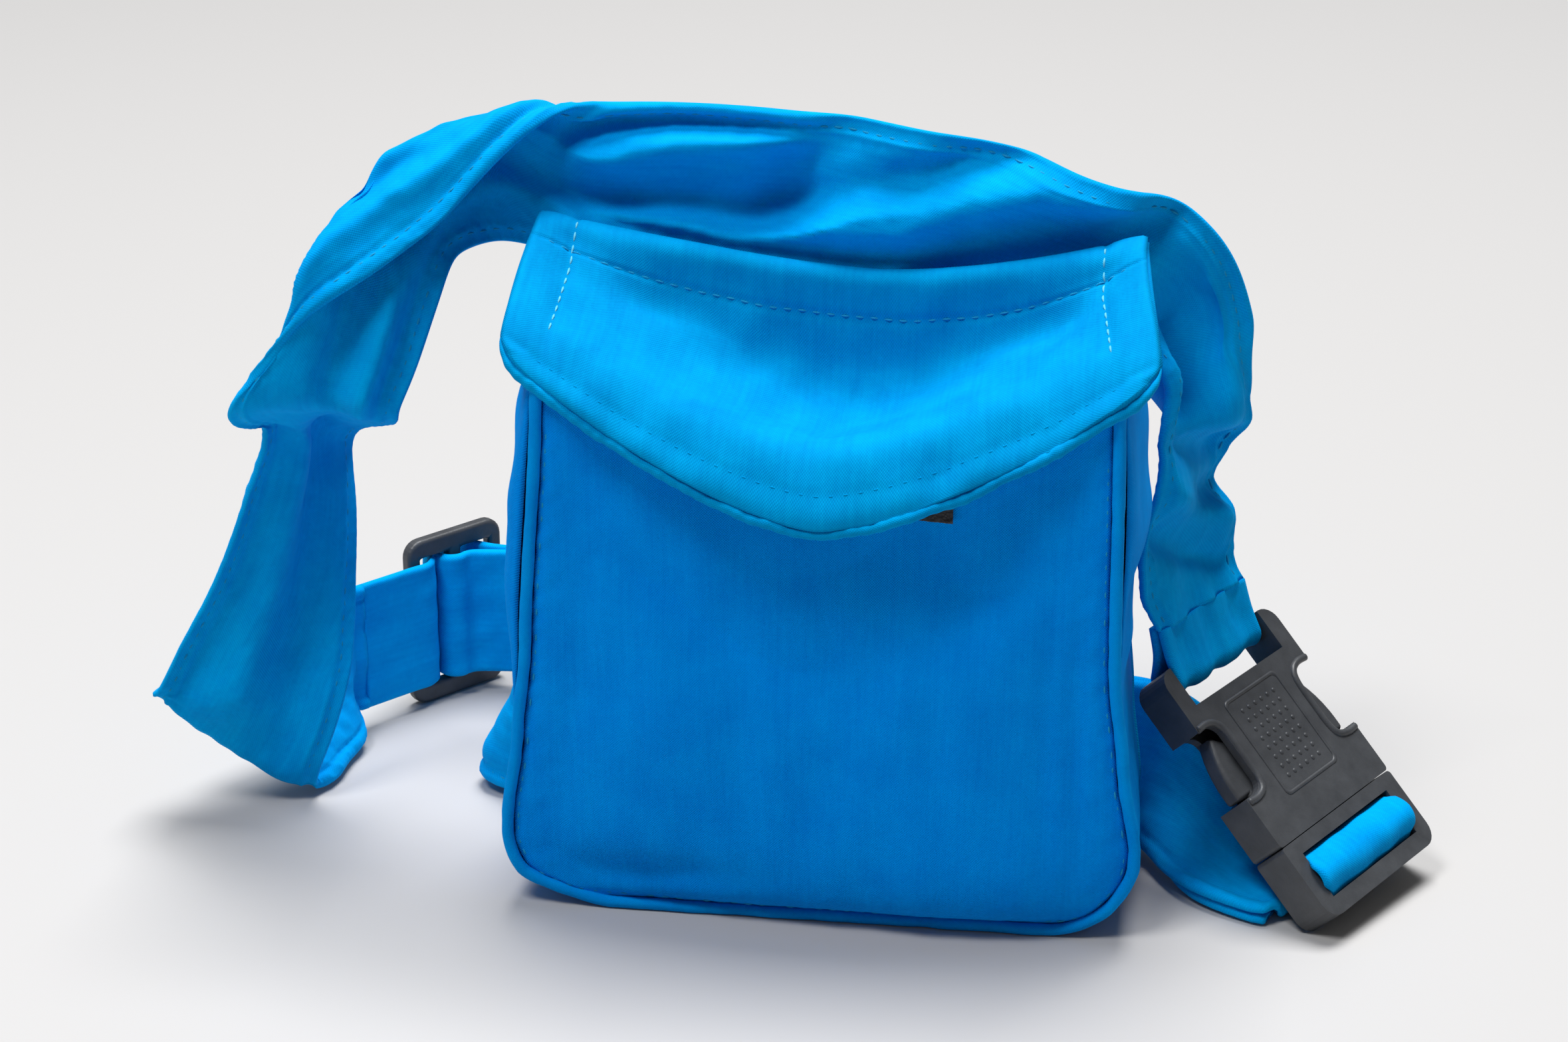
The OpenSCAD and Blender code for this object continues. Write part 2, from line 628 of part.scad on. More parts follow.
// Steps between the straight rows at the plug and at both ends of the slider
leg_in = 4;
weave_in = 2;
leave_in = 4;

upper_belt = smooth_grid(concat([buckle_row(leg_y, leg_up)], [for (r = upper_route) widened(r)],
                                [for (k = [2, 1, 0]) slider_row([weave_from - k * weave_in, -layer_y(0)])]), 3, 2);
adjust_belt = smooth_grid(concat([for (k = [0, 1, 2]) slider_row(leave_at + k * leave_in * leave_way)],
                                 [for (r = adjust_route) widened(r)],
                                 [for (k = [1, 0.5, 0]) buckle_row(-plug_bar, leg_z - k * leg_in)]), 2, 2);
adjust_last = len(adjust_belt) - 1;
// The two layers spread to both sides of the plug's bar at the end
spread = [for (i = [0 : adjust_last])
    lerp(layer_shift, wrap_r, pow(max(0, 1 - max(0, adjust_last - i - 2) / 5), 1.5))];

module belt_right_fall() {
    color(BRIGHT_BLUE) sheet(upper_belt, same(upper_belt, 0), belt_t, 0, 2 * fall_rows);
}

module belt_back_band() {
    color(DEEP_BLUE) sheet(upper_belt, same(upper_belt, 0), belt_t, 2 * fall_rows, 2 * band_rows);
}

module belt_left_arch() {
    color(BLUE) sheet(upper_belt, same(upper_belt, 0), belt_t, 2 * band_rows, 2 * arch_rows);
}

module belt_left_hang() {
    color(BLUE) sheet(upper_belt, same(upper_belt, 0), belt_t, 2 * arch_rows, 2 * hang_rows);
}

module belt_turn_back() {
    color(BLUE) sheet(upper_belt, same(upper_belt, 0), belt_t, 2 * hang_rows, len(upper_belt) - 1);
}

module belt_strap_run() {
    color(DEEP_BLUE) sheet(adjust_belt, -spread, belt_t, 0, 2 * lead_rows);
}

module belt_return_run() {
    color(DEEP_BLUE) sheet(adjust_belt, spread, belt_t, 0, 2 * lead_rows);
}

module belt_strap_lead() {
    color(BLUE) sheet(adjust_belt, -spread, belt_t, 2 * lead_rows, adjust_last);
}

module belt_return_lead() {
    color(BRIGHT_BLUE) sheet(adjust_belt, spread, belt_t, 2 * lead_rows, adjust_last);
}

front_panel();
back_panel();
side_gusset();
front_piping();
lining();
mouth_hem();
loop_patch();
flap_outer();
flap_lining();
flap_rim();
hook_patch();
buckle_female();
buckle_male();
male_tongue();
male_prong_left();
male_prong_right();
slider_frame();
belt_female_loop();
belt_male_loop();
belt_slider_weave();
belt_end_loop();
belt_right_fall();
belt_back_band();
belt_left_arch();
belt_left_hang();
belt_turn_back();
belt_strap_run();
belt_return_run();
belt_strap_lead();
belt_return_lead();
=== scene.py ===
"""Soft cloth pouch with a pointed flap, on a folded belt with a side-release buckle and a slider."""

import math

import bmesh
import bpy
import numpy as np
from bpy.props import FloatProperty, FloatVectorProperty, IntProperty, PointerProperty
from mathutils import Matrix, Vector


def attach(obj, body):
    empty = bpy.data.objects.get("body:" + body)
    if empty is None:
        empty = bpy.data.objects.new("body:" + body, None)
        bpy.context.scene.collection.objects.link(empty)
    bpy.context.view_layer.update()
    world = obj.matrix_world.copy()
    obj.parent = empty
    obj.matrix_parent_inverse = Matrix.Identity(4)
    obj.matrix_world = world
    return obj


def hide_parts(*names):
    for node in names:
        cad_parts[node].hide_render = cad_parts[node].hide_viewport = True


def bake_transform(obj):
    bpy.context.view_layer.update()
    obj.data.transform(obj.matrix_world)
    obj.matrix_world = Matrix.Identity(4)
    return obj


bl_info = {
    "name": "Belt Pouch",
    "version": (1, 0, 0),
    "blender": (4, 5, 0),
    "location": "View3D > Sidebar > Belt Pouch",
    "description": "Dresses a belt pouch in cloth, stitches and moulded plastic",
    "category": "Mesh",
}

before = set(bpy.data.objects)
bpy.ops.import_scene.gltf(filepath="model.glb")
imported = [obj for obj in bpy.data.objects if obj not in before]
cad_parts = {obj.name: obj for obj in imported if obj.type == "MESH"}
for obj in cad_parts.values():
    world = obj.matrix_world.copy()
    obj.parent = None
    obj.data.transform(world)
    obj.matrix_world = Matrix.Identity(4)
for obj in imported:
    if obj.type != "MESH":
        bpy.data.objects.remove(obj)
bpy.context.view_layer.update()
MM = 0.001

# Sizes of the pouch, in millimetres
HALF_W = 62.0
HALF_TOP = 58.0
HALF_D = 20.0
MOUTH_H = 112.0
MOUTH_SAG = 7.0
BACK_H = 137.5
BACK_SAG = 9.0
CORNER_R = 17.0
PIPING_R = 1.3
PIPING_W = 2 * PIPING_R
SIDE_TOP = 118.0
SIDE_RISE = 9.0
CLOTH_T = 1.15
FRONT_Y = -19.35
FRONT_INNER_Y = -18.15
FRONT_INSET = 2.7
PIPING_Y = -18.75
HEM_Y = -17.98
HEM_H = 8.8

# Sizes of the belt, the buckle and the slider, in millimetres
BELT_T = 1.8
PINCH_W = 32.0
GATHER_PITCH = 10.5
PUCKER_PITCH = 2.9
GROOVE_IN = 3.8
STITCH_IN = 3.6
BUCKLE_W = 42.0
BUCKLE_T = 9.0
PLUG_L = 18.0
SOCKET_BAR = 42.1
PLUG_BAR = 9.0
WRAP_R = 2.9
SLOT_L = 33.0
SLIDER_H = 42.0
SLIDER_L = 27.0
SLIDER_T = 3.2
SLIDER_BAR = 3.6
BAR_GAP = 0.3


# ---------------------------------------------------------------- sizes and colours


def length_setting(name, description, default):
    return FloatProperty(name=name, description=description, default=default, unit="LENGTH")


def colour_setting(name, description, default):
    return FloatVectorProperty(name=name, description=description, default=default, subtype="COLOR")


def angle_setting(name, description, degrees):
    return FloatProperty(name=name, description=description, default=math.radians(degrees), subtype="ANGLE")


class ClothSettings(bpy.types.PropertyGroup):
    """Stitches and colours of the cloth"""

    stitch: length_setting("Stitch length", "Length of one visible stitch", 0.0022)
    stitch_gap: length_setting("Stitch gap", "Gap between two stitches", 0.0008)
    thread: length_setting("Thread radius", "Radius of the sewing thread", 0.00024)
    grain: length_setting("Thread pitch", "Distance between two threads of the weave", 0.00055)
    blue: colour_setting("Cloth", "Colour of the cloth", (0.0, 0.212, 0.610))
    light_blue: colour_setting("Raised cloth", "Colour of the brushed, raised threads", (0.0, 0.415, 0.860))
    thread_blue: colour_setting("Thread", "Colour of the sewing thread", (0.02, 0.36, 0.68))
    pale_thread: colour_setting("Pale thread", "Colour of the paler side stitches", (0.16, 0.62, 0.80))


class HardwareSettings(bpy.types.PropertyGroup):
    """Finish of the buckle and slider"""

    black: colour_setting("Plastic", "Colour of the moulded plastic", (0.040, 0.043, 0.048))
    bevel: length_setting("Edge radius", "Radius of the moulded edges", 0.0010)
    dot: length_setting("Grip dot radius", "Radius of the raised grip dots", 0.00055)
    dot_rows: IntProperty(name="Grip dot rows", description="Rows of dots on the socket", default=8)


class StageSettings(bpy.types.PropertyGroup):
    """Camera and light"""

    elevation: angle_setting("Elevation", "Height of the view above the horizon", 23.0)
    azimuth: angle_setting("Azimuth", "Turn of the view towards the buckle", 7.5)
    distance: length_setting("Distance", "Distance of the camera along its view", 0.702)
    lens: FloatProperty(name="Lens", description="Focal length of the camera", default=76.6, unit="CAMERA")


# ---------------------------------------------------------------- curves


def hump(v, place, width):
    """Soft bump: 1 at a place, falling off on both sides over a width."""
    return np.exp(-(((v - place) / width) ** 2))


def ramp(v, start, rise):
    """0 up to a start, then evenly up to 1 over a rise."""
    return np.clip((v - start) / rise, 0, 1)


def between(v, start, rise, end, fall):
    """1 between two places, with a rise after the first and a fall before the second."""
    return ramp(v, start, rise) * np.clip((end - v) / fall, 0, 1)


def wave(v, pitch, shift=0.0):
    return np.cos(2 * math.pi * v / pitch + shift)


def points(x, y, z):
    """Points from three numbers or grids that broadcast."""
    return np.stack(np.broadcast_arrays(x, y, z), axis=-1).astype(float)


def unit(v):
    return v / np.maximum(np.linalg.norm(v, axis=-1, keepdims=True), 1e-12)


def lengths(line):
    """Distance along a line of points, from its start."""
    step = np.linalg.norm(np.diff(line, axis=0), axis=-1)
    return np.concatenate([[0], np.cumsum(step)])


def along(line, s, at):
    """Points at positions along a line whose own points are at s."""
    return np.stack([np.interp(at, s, column) for column in line.T], axis=-1)


def smooth_at(control, t, column=None):
    """Points of a smooth line through control points, or through a column of them for each position."""
    p = np.asarray(control, float)
    n = len(p) - 1
    t = np.clip(np.asarray(t, float), 0, n - 1e-9)
    i = np.floor(t).astype(int)
    near = [np.clip(i + j, 0, n) for j in (-1, 0, 1, 2)]
    a, b, c, d = (p[j] if column is None else p[j, column] for j in near)
    k = (t - i).reshape((-1,) + (1,) * (b.ndim - 1))
    return (2 * b + (c - a) * k + (2 * a - 5 * b + 4 * c - d) * k * k + (3 * b - a - 3 * c + d) * k**3) / 2


def even_positions(line, pitch):
    """Positions along a dense line, evenly spaced by about the pitch."""
    s = lengths(line)
    n = max(2, int(round(s[-1] / pitch)))
    return np.interp(np.linspace(0, s[-1], n + 1), s, np.linspace(0, 1, len(s)))


def smoothed(line, span):
    """Line whose points are averaged with this many neighbours on each side."""
    size = 2 * span + 1
    return np.stack([np.convolve(np.pad(column, span, mode="edge"), np.ones(size) / size, "valid")
                     for column in line.T], axis=-1)


def ripple(u, v, seed, pitch, count=9):
    """Soft, even folds: a fixed sum of waves in random directions, about -1 to 1."""
    rng = np.random.default_rng(seed)
    out = np.zeros(np.broadcast(u, v).shape)
    for _ in range(count):
        way, phase = rng.uniform(0, 2 * math.pi, 2)
        k = 2 * math.pi / (pitch * rng.uniform(0.7, 1.6))
        out = out + np.sin(k * (u * math.cos(way) + v * math.sin(way)) + phase)
    return out / math.sqrt(count)


def arc(centre, radius, first, last, count):
    """Points of an arc between two angles in degrees."""
    a = np.radians(np.linspace(first, last, count))
    return [[centre[0] + radius * math.cos(v), centre[1] + radius * math.sin(v)] for v in a]


def rounded(half_w, low, high, r, count):
    """Rectangle about the Z axis with rounded corners, as points in X and Y."""
    corners = ((half_w, high), (-half_w, high), (-half_w, low), (half_w, low))
    return [p for i, corner in enumerate(corners) for p in arc(corner, r, 90 * i, 90 * i + 90, count)]


def grid_normals(grid):
    """Normals of a grid whose rows run down and whose columns run to the right."""
    return unit(np.cross(np.gradient(grid, axis=1), np.gradient(grid, axis=0)))


# ---------------------------------------------------------------- cloth, cords and stitches


def add_mesh(name, verts, faces, smooth=True, weave=None):
    """New object in the row frame from metres, with the cloth's own coordinates where given."""
    mesh = bpy.data.meshes.new(name)
    corners = [tuple(int(i) for i in f) for f in faces]
    mesh.from_pydata([tuple(v) for v in np.asarray(verts, float)], [], corners)
    if weave is not None:
        layer = mesh.attributes.new("weave", "FLOAT_VECTOR", "POINT")
        layer.data.foreach_set("vector", np.asarray(weave, np.float32).reshape(-1))
    mesh.validate()
    bm = bmesh.new()
    bm.from_mesh(mesh)
    bmesh.ops.recalc_face_normals(bm, faces=bm.faces)
    bm.to_mesh(mesh)
    bm.free()
    for p in mesh.polygons:
        p.use_smooth = smooth
    obj = bpy.data.objects.new(name, mesh)
    bpy.context.scene.collection.objects.link(obj)
    return obj


def finish_piece(obj, finish, body, nodes=()):
    """Finish, body and the CAD nodes that the piece stands for."""
    obj.data.materials.clear()
    obj.data.materials.append(finished(finish))
    if body:
        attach(obj, body)
    if nodes:
        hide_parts(*nodes)
    return obj


def ring_faces(rings, size, base=0, caps=True, loop=False):
    """Faces between rings of points, with a cap on the first and last ring, or joined into a loop."""
    faces = []
    for i in range(rings if loop else rings - 1):
        a, b = base + i * size, base + (i + 1) % rings * size
        faces += [(a + j, a + (j + 1) % size, b + (j + 1) % size, b + j) for j in range(size)]
    if caps:
        faces += [tuple(start + j for j in range(size)) for start in (base, base + (rings - 1) * size)]
    return faces


def shell(name, outer, inner, weave):
    """Closed cloth between two grids of points that share their side edges."""
    rows, cols = outer.shape[:2]
    ring = np.concatenate([outer, inner[:, -2:0:-1]], axis=1)
    size = ring.shape[1]
    w = np.concatenate([weave, weave[:, -2:0:-1]], axis=1)
    faces = ring_faces(rows, size, caps=False)
    under = [0] + [size - j for j in range(1, cols - 1)] + [cols - 1]
    for base in (0, (rows - 1) * size):
        for j in range(cols - 1):
            faces.append([base + k for k in dict.fromkeys((j, j + 1, under[j + 1], under[j]))])
    return add_mesh(name, ring.reshape(-1, 3), faces, weave=w.reshape(-1, 3))


def cloth_piece(name, outer, inner, weave, finish, body, slot, nodes, tie=True):
    """Closed cloth from grids in millimetres, tied along its side edges where they don't meet yet."""
    if tie:
        inner[:, 0], inner[:, -1] = outer[:, 0], outer[:, -1]
    return finish_piece(shell(name, outer * MM, inner * MM, weave * MM), finish, body, nodes)


def tube(name, path, radius, sides=12, up=(0, 1, 0), squash=1.0):
    """Closed round cord along a line in millimetres, with one radius for each point."""
    path = np.asarray(path, float) * MM
    radius = np.broadcast_to(radius, len(path)) * MM
    d = unit(np.gradient(path, axis=0))
    a = unit(np.cross(d, np.broadcast_to(np.asarray(up, float), d.shape)))
    b = np.cross(d, a)
    turn = np.linspace(0, 2 * math.pi, sides, endpoint=False)
    ring = a[:, None] * np.cos(turn)[None, :, None] + b[:, None] * np.sin(turn)[None, :, None] * squash
    verts = path[:, None] + ring * radius[:, None, None]
    weave = points(lengths(path)[:, None], turn[None] * radius[:, None], 0)
    return add_mesh(name, verts.reshape(-1, 3), ring_faces(len(path), sides), weave=weave.reshape(-1, 3))


def stitches(name, path, normal, finish="Sewing Thread", body="pouch", lift=0.0):
    """Stitches along a line in millimetres: short bowed threads that dip into the cloth at both ends."""
    sewing = bpy.context.scene.pouch_cloth
    path = path * MM
    s = lengths(path)
    pitch = sewing.stitch + sewing.stitch_gap
    count = int(s[-1] // pitch)
    if count < 1:
        raise ValueError(f"{name}: the line is too short for a stitch")
    sides, rings = 6, 6
    bow = np.sin(np.linspace(0, math.pi, rings))
    r = sewing.thread * (0.45 + 0.55 * bow)
    turn = 2 * math.pi * np.arange(sides) / sides
    verts, faces, weave = [], [], []
    for c in range(count):
        start = c * pitch + sewing.stitch_gap / 2
        at = np.linspace(start, start + sewing.stitch, rings)
        p, n = along(path, s, at), unit(along(normal, s, at))
        side = unit(np.cross(unit(np.gradient(p, axis=0)), n))
        centre = p + n * (lift * MM + sewing.thread * (1.1 * bow - 0.45))[:, None]
        ring = side[:, None] * np.cos(turn)[None, :, None] + n[:, None] * np.sin(turn)[None, :, None]
        faces += ring_faces(rings, sides, c * rings * sides)
        verts.append((centre[:, None] + ring * r[:, None, None]).reshape(-1, 3))
        weave.append(points(at[:, None], turn[None] * r[:, None], 0).reshape(-1, 3))
    obj = add_mesh(name, np.concatenate(verts), faces, weave=np.concatenate(weave))
    return finish_piece(obj, finish, body)


# ---------------------------------------------------------------- shader groups and materials


def feed(tree, value, socket):
    """Links an output to a socket, or sets the socket's own value."""
    if hasattr(value, "is_output"):
        tree.links.new(value, socket)
    else:
        socket.default_value = value


def math_node(tree, operation, a, b=None, clamp=False):
    node = tree.nodes.new("ShaderNodeMath")
    node.operation = operation
    node.use_clamp = clamp
    feed(tree, a, node.inputs[0])
    if b is not None:
        feed(tree, b, node.inputs[1])
    return node.outputs[0]


def weighted(tree, terms, offset=0.0, clamp=False):
    """Sum of values times their weights, plus an offset."""
    parts = [math_node(tree, "MULTIPLY", value, weight) for value, weight in terms]
    total = parts[0]
    for part in parts[1:]:
        total = math_node(tree, "ADD", total, part)
    return math_node(tree, "ADD", total, offset, clamp)


def noise_node(tree, vector, scale, detail, roughness=0.5):
    node = tree.nodes.new("ShaderNodeTexNoise")
    for label, value in (("Vector", vector), ("Scale", scale), ("Detail", detail), ("Roughness", roughness)):
        feed(tree, value, node.inputs[label])
    return node.outputs["Fac"]


def cell_node(tree, vector, scale, feature="F1"):
    node = tree.nodes.new("ShaderNodeTexVoronoi")
    node.feature = feature
    feed(tree, vector, node.inputs["Vector"])
    feed(tree, scale, node.inputs["Scale"])
    return node.outputs["Distance"]


def mix_colour(tree, fac, a, b):
    node = tree.nodes.new("ShaderNodeMix")
    node.data_type = "RGBA"
    tree.links.new(fac, node.inputs["Factor"])
    node.inputs[6].default_value = (*a, 1)
    node.inputs[7].default_value = (*b, 1)
    return node.outputs[2]


def shared_group(name, numbers, outputs, fill):
    """Node group with a vector and named numbers as inputs, filled once and then shared."""
    if name not in bpy.data.node_groups:
        group = bpy.data.node_groups.new(name, "ShaderNodeTree")
        group.interface.new_socket(name="Vector", in_out="INPUT", socket_type="NodeSocketVector")
        for label, value in numbers.items():
            socket = group.interface.new_socket(name=label, in_out="INPUT", socket_type="NodeSocketFloat")
            socket.default_value = value
        for label in outputs:
            group.interface.new_socket(name=label, in_out="OUTPUT", socket_type="NodeSocketFloat")
        given, put = group.nodes.new("NodeGroupInput").outputs, group.nodes.new("NodeGroupOutput").inputs
        for label, value in zip(outputs, fill(group, given)):
            group.links.new(value, put[label])
    return bpy.data.node_groups[name]


def fill_weave(group, given):
    """Threads that go over and under each other, with slubs: their height and how raised they are."""
    sep = group.nodes.new("ShaderNodeSeparateXYZ")
    group.links.new(given["Vector"], sep.inputs[0])
    noise = noise_node(group, given["Vector"], 420.0, 2.0)
    slub = math_node(group, "MULTIPLY", math_node(group, "SUBTRACT", noise, 0.5), given["Slub"])
    waves = []
    for axis in (0, 1):
        turns = math_node(group, "ADD", math_node(group, "DIVIDE", sep.outputs[axis], given["Pitch"]), slub)
        waves.append(math_node(group, "SINE", math_node(group, "MULTIPLY", turns, 2 * math.pi)))
    over = math_node(group, "MULTIPLY", *waves)
    height = weighted(group, [(over, 0.5), (slub, 1.0)], 0.5)
    return height, math_node(group, "POWER", height, 1.6, clamp=True)


def fill_fuzz(group, given):
    """Fine fibres and soft patches of a brushed surface."""
    return (noise_node(group, given["Vector"], given["Fibre Scale"], 4.0, 0.7),
            noise_node(group, given["Vector"], given["Patch Scale"], 3.0))


def fill_grain(group, given):
    """Spark-eroded grain of a mould, and faint scuffs."""
    return (cell_node(group, given["Vector"], given["Grain Scale"], "SMOOTH_F1"),
            noise_node(group, given["Vector"], 160.0, 6.0, 0.65))


def place_group(tree, group, vector, **numbers):
    node = tree.nodes.new("ShaderNodeGroup")
    node.node_tree = group
    tree.links.new(vector, node.inputs["Vector"])
    for label, value in numbers.items():
        node.inputs[label.replace("_", " ").title()].default_value = value
    return node.outputs


def start_material(name, **constants):
    """New material, its node tree and its shader, with constants on the shader's own sockets."""
    mat = bpy.data.materials.new(name)
    mat.use_nodes = True
    shader = mat.node_tree.nodes["Principled BSDF"]
    for label, value in constants.items():
        shader.inputs[label.replace("_", " ")].default_value = value
    return mat, mat.node_tree, shader


def add_bump(tree, shader, height, strength, distance):
    bump = tree.nodes.new("ShaderNodeBump")
    bump.inputs["Strength"].default_value = strength
    bump.inputs["Distance"].default_value = distance
    tree.links.new(height, bump.inputs["Height"])
    tree.links.new(bump.outputs["Normal"], shader.inputs["Normal"])


def object_space(tree):
    return tree.nodes.new("ShaderNodeTexCoord").outputs["Object"]


WARP_STREAKS = (60.0, 900.0, 60.0)


def cloth_material(name, low, high, pitch, weave=0.35, sheen=0.25, patch=90.0):
    """Soft woven cotton: weave and fibre in the bump, brushed highlights in the colour and a faint sheen."""
    mat, tree, shader = start_material(
        name, Specular_IOR_Level=0.12, Specular_Tint=(0.0, 0.45, 1.0, 1), Sheen_Weight=sheen,
        Sheen_Roughness=0.6, Sheen_Tint=(0.0, 0.50, 1.0, 1))
    coords = tree.nodes.new("ShaderNodeAttribute")
    coords.attribute_name = "weave"
    woven = shared_group("Woven Threads", {"Pitch": 0.0006, "Slub": 0.4}, ("Height", "Raised"), fill_weave)
    threads = place_group(tree, woven, coords.outputs["Vector"], pitch=pitch)
    brushed = shared_group("Brushed Surface", {"Fibre Scale": 900.0, "Patch Scale": 90.0},
                           ("Fibre", "Patches"), fill_fuzz)
    fuzz = place_group(tree, brushed, object_space(tree), patch_scale=patch)
    stretch = tree.nodes.new("ShaderNodeMapping")
    stretch.inputs["Scale"].default_value = WARP_STREAKS
    tree.links.new(coords.outputs["Vector"], stretch.inputs["Vector"])
    rib = weighted(tree, [(noise_node(tree, stretch.outputs["Vector"], 1.0, 2.0), 0.40)], -0.20)
    tone = weighted(tree, [(threads["Raised"], 0.35), (rib, 1.0), (fuzz["Patches"], 0.75),
                           (fuzz["Fibre"], 0.35)], -0.30, clamp=True)
    tree.links.new(mix_colour(tree, tone, low, high), shader.inputs["Base Color"])
    rough = weighted(tree, [(fuzz["Fibre"], 0.14)], 0.80, clamp=True)
    tree.links.new(rough, shader.inputs["Roughness"])
    height = weighted(tree, [(threads["Height"], weave), (fuzz["Fibre"], 0.25), (rib, 1.0)])
    add_bump(tree, shader, height, 0.55, 0.00025)
    return mat


def plastic_material(name, colour):
    """Black moulded plastic with a fine grain and faint scuffs."""
    mat, tree, shader = start_material(name, Specular_IOR_Level=0.45)
    grain = shared_group("Moulded Grain", {"Grain Scale": 2600.0}, ("Height", "Scuff"), fill_grain)
    surface = place_group(tree, grain, object_space(tree))
    lighter = tuple(c * 1.7 + 0.006 for c in colour)
    worn = weighted(tree, [(surface["Scuff"], 1.6)], -0.45, clamp=True)
    tree.links.new(mix_colour(tree, worn, colour, lighter), shader.inputs["Base Color"])
    tree.links.new(weighted(tree, [(surface["Scuff"], 0.16)], 0.34), shader.inputs["Roughness"])
    add_bump(tree, shader, surface["Height"], 0.5, 0.00004)
    return mat


def pile_material(name, colour, scale):
    """Hook or loop face: a dense, dark, curly pile."""
    mat, tree, shader = start_material(name, Roughness=0.85, Sheen_Weight=0.2)
    pile = cell_node(tree, object_space(tree), scale)
    deep = math_node(tree, "MULTIPLY", pile, 1.2, clamp=True)
    lighter = tuple(c * 2.2 for c in colour)
    tree.links.new(mix_colour(tree, deep, lighter, colour), shader.inputs["Base Color"])
    add_bump(tree, shader, pile, 0.8, 0.0004)
    return mat


# Cottons: for their low and for their raised threads, a setting and the shares of its green and blue; then
# what else differs. The panel, piping, flap and belt cottons are lit and shaded copies of one cloth. The
# panel's bluer, less green shares are painted shade, also on the gusset, and the piping's shares copy that
# painted shade. The flap's lower shares are painted shade, and the belt's higher shares are painted light.
COTTONS = {
    "Brushed Cotton": (("blue", 1, 1), ("light_blue", 1, 1), {}),
    "Panel Cotton Painted Shade": (("blue", 0.92, 1.22), ("light_blue", 0.84, 1.16), {"weave": 0.6}),
    "Flap Cotton Painted Shade": (("blue", 0.90, 0.84), ("light_blue", 0.93, 0.88), {}),
    "Belt Cotton": (("blue", 1.12, 1.12), ("light_blue", 1.14, 1.10), {"patch": 70.0}),
    "Piping Cotton Painted Shade": (("blue", 0.95, 1.15), ("light_blue", 0.92, 1.08), {"fine": 0.9}),
    "Lining Cotton": (("blue", 0.8, 0.8), ("light_blue", 0.85, 0.85), {"fine": 14 / 11, "sheen": 0.1}),
    "Sewing Thread": (("thread_blue", 0.8, 0.8), ("thread_blue", 1, 1), {"fine": 6 / 11, "sheen": 0.2}),
    "Pale Thread": (("pale_thread", 0.85, 0.85), ("pale_thread", 1, 1), {"fine": 6 / 11, "sheen": 0.2}),
}
PILES = {"Loop Pile": ((0.012, 0.012, 0.014), 1500.0), "Hook Pile": ((0.015, 0.015, 0.017), 900.0)}


def shade(setting, green, blue):
    """A set colour with other shares of its green, which red follows, and of its blue."""
    r, g, b = getattr(bpy.context.scene.pouch_cloth, setting)
    return r * green, g * green, min(1.0, b * blue)


def finished(name):
    """Material of a finish, made on first use."""
    if name in bpy.data.materials:
        return bpy.data.materials[name]
    if name in COTTONS:
        low, high, more = COTTONS[name]
        more = dict(more)
        pitch = bpy.context.scene.pouch_cloth.grain * more.pop("fine", 1)
        return cloth_material(name, shade(*low), shade(*high), pitch, **more)
    if name in PILES:
        return pile_material(name, *PILES[name])
    return plastic_material(name, tuple(bpy.context.scene.pouch_hardware.black))


# ---------------------------------------------------------------- stage

# The view's frame and the place in it, in pixels, of the floor's point below the front panel's middle
FRAME_SIZE = (2359, 1568)
AIM_PIXEL = (1246, 1390)
AIM_POINT = (0, -0.020, 0)
SENSOR_W = 36.0

# Soft lights: name, place, target, size and power
LIGHTS = (
    ("back_softbox", (0.05, 0.56, 2.3), (0, 0, 0.05), 1.1, 72.0),
    ("front_softbox", (-0.42, -0.50, 1.35), (0, 0, 0.05), 0.4, 11.0),
)
ROOM_LIGHT = 0.14
FLOOR_TONES = ((0.500, 0.493, 0.489), (0.525, 0.518, 0.514))


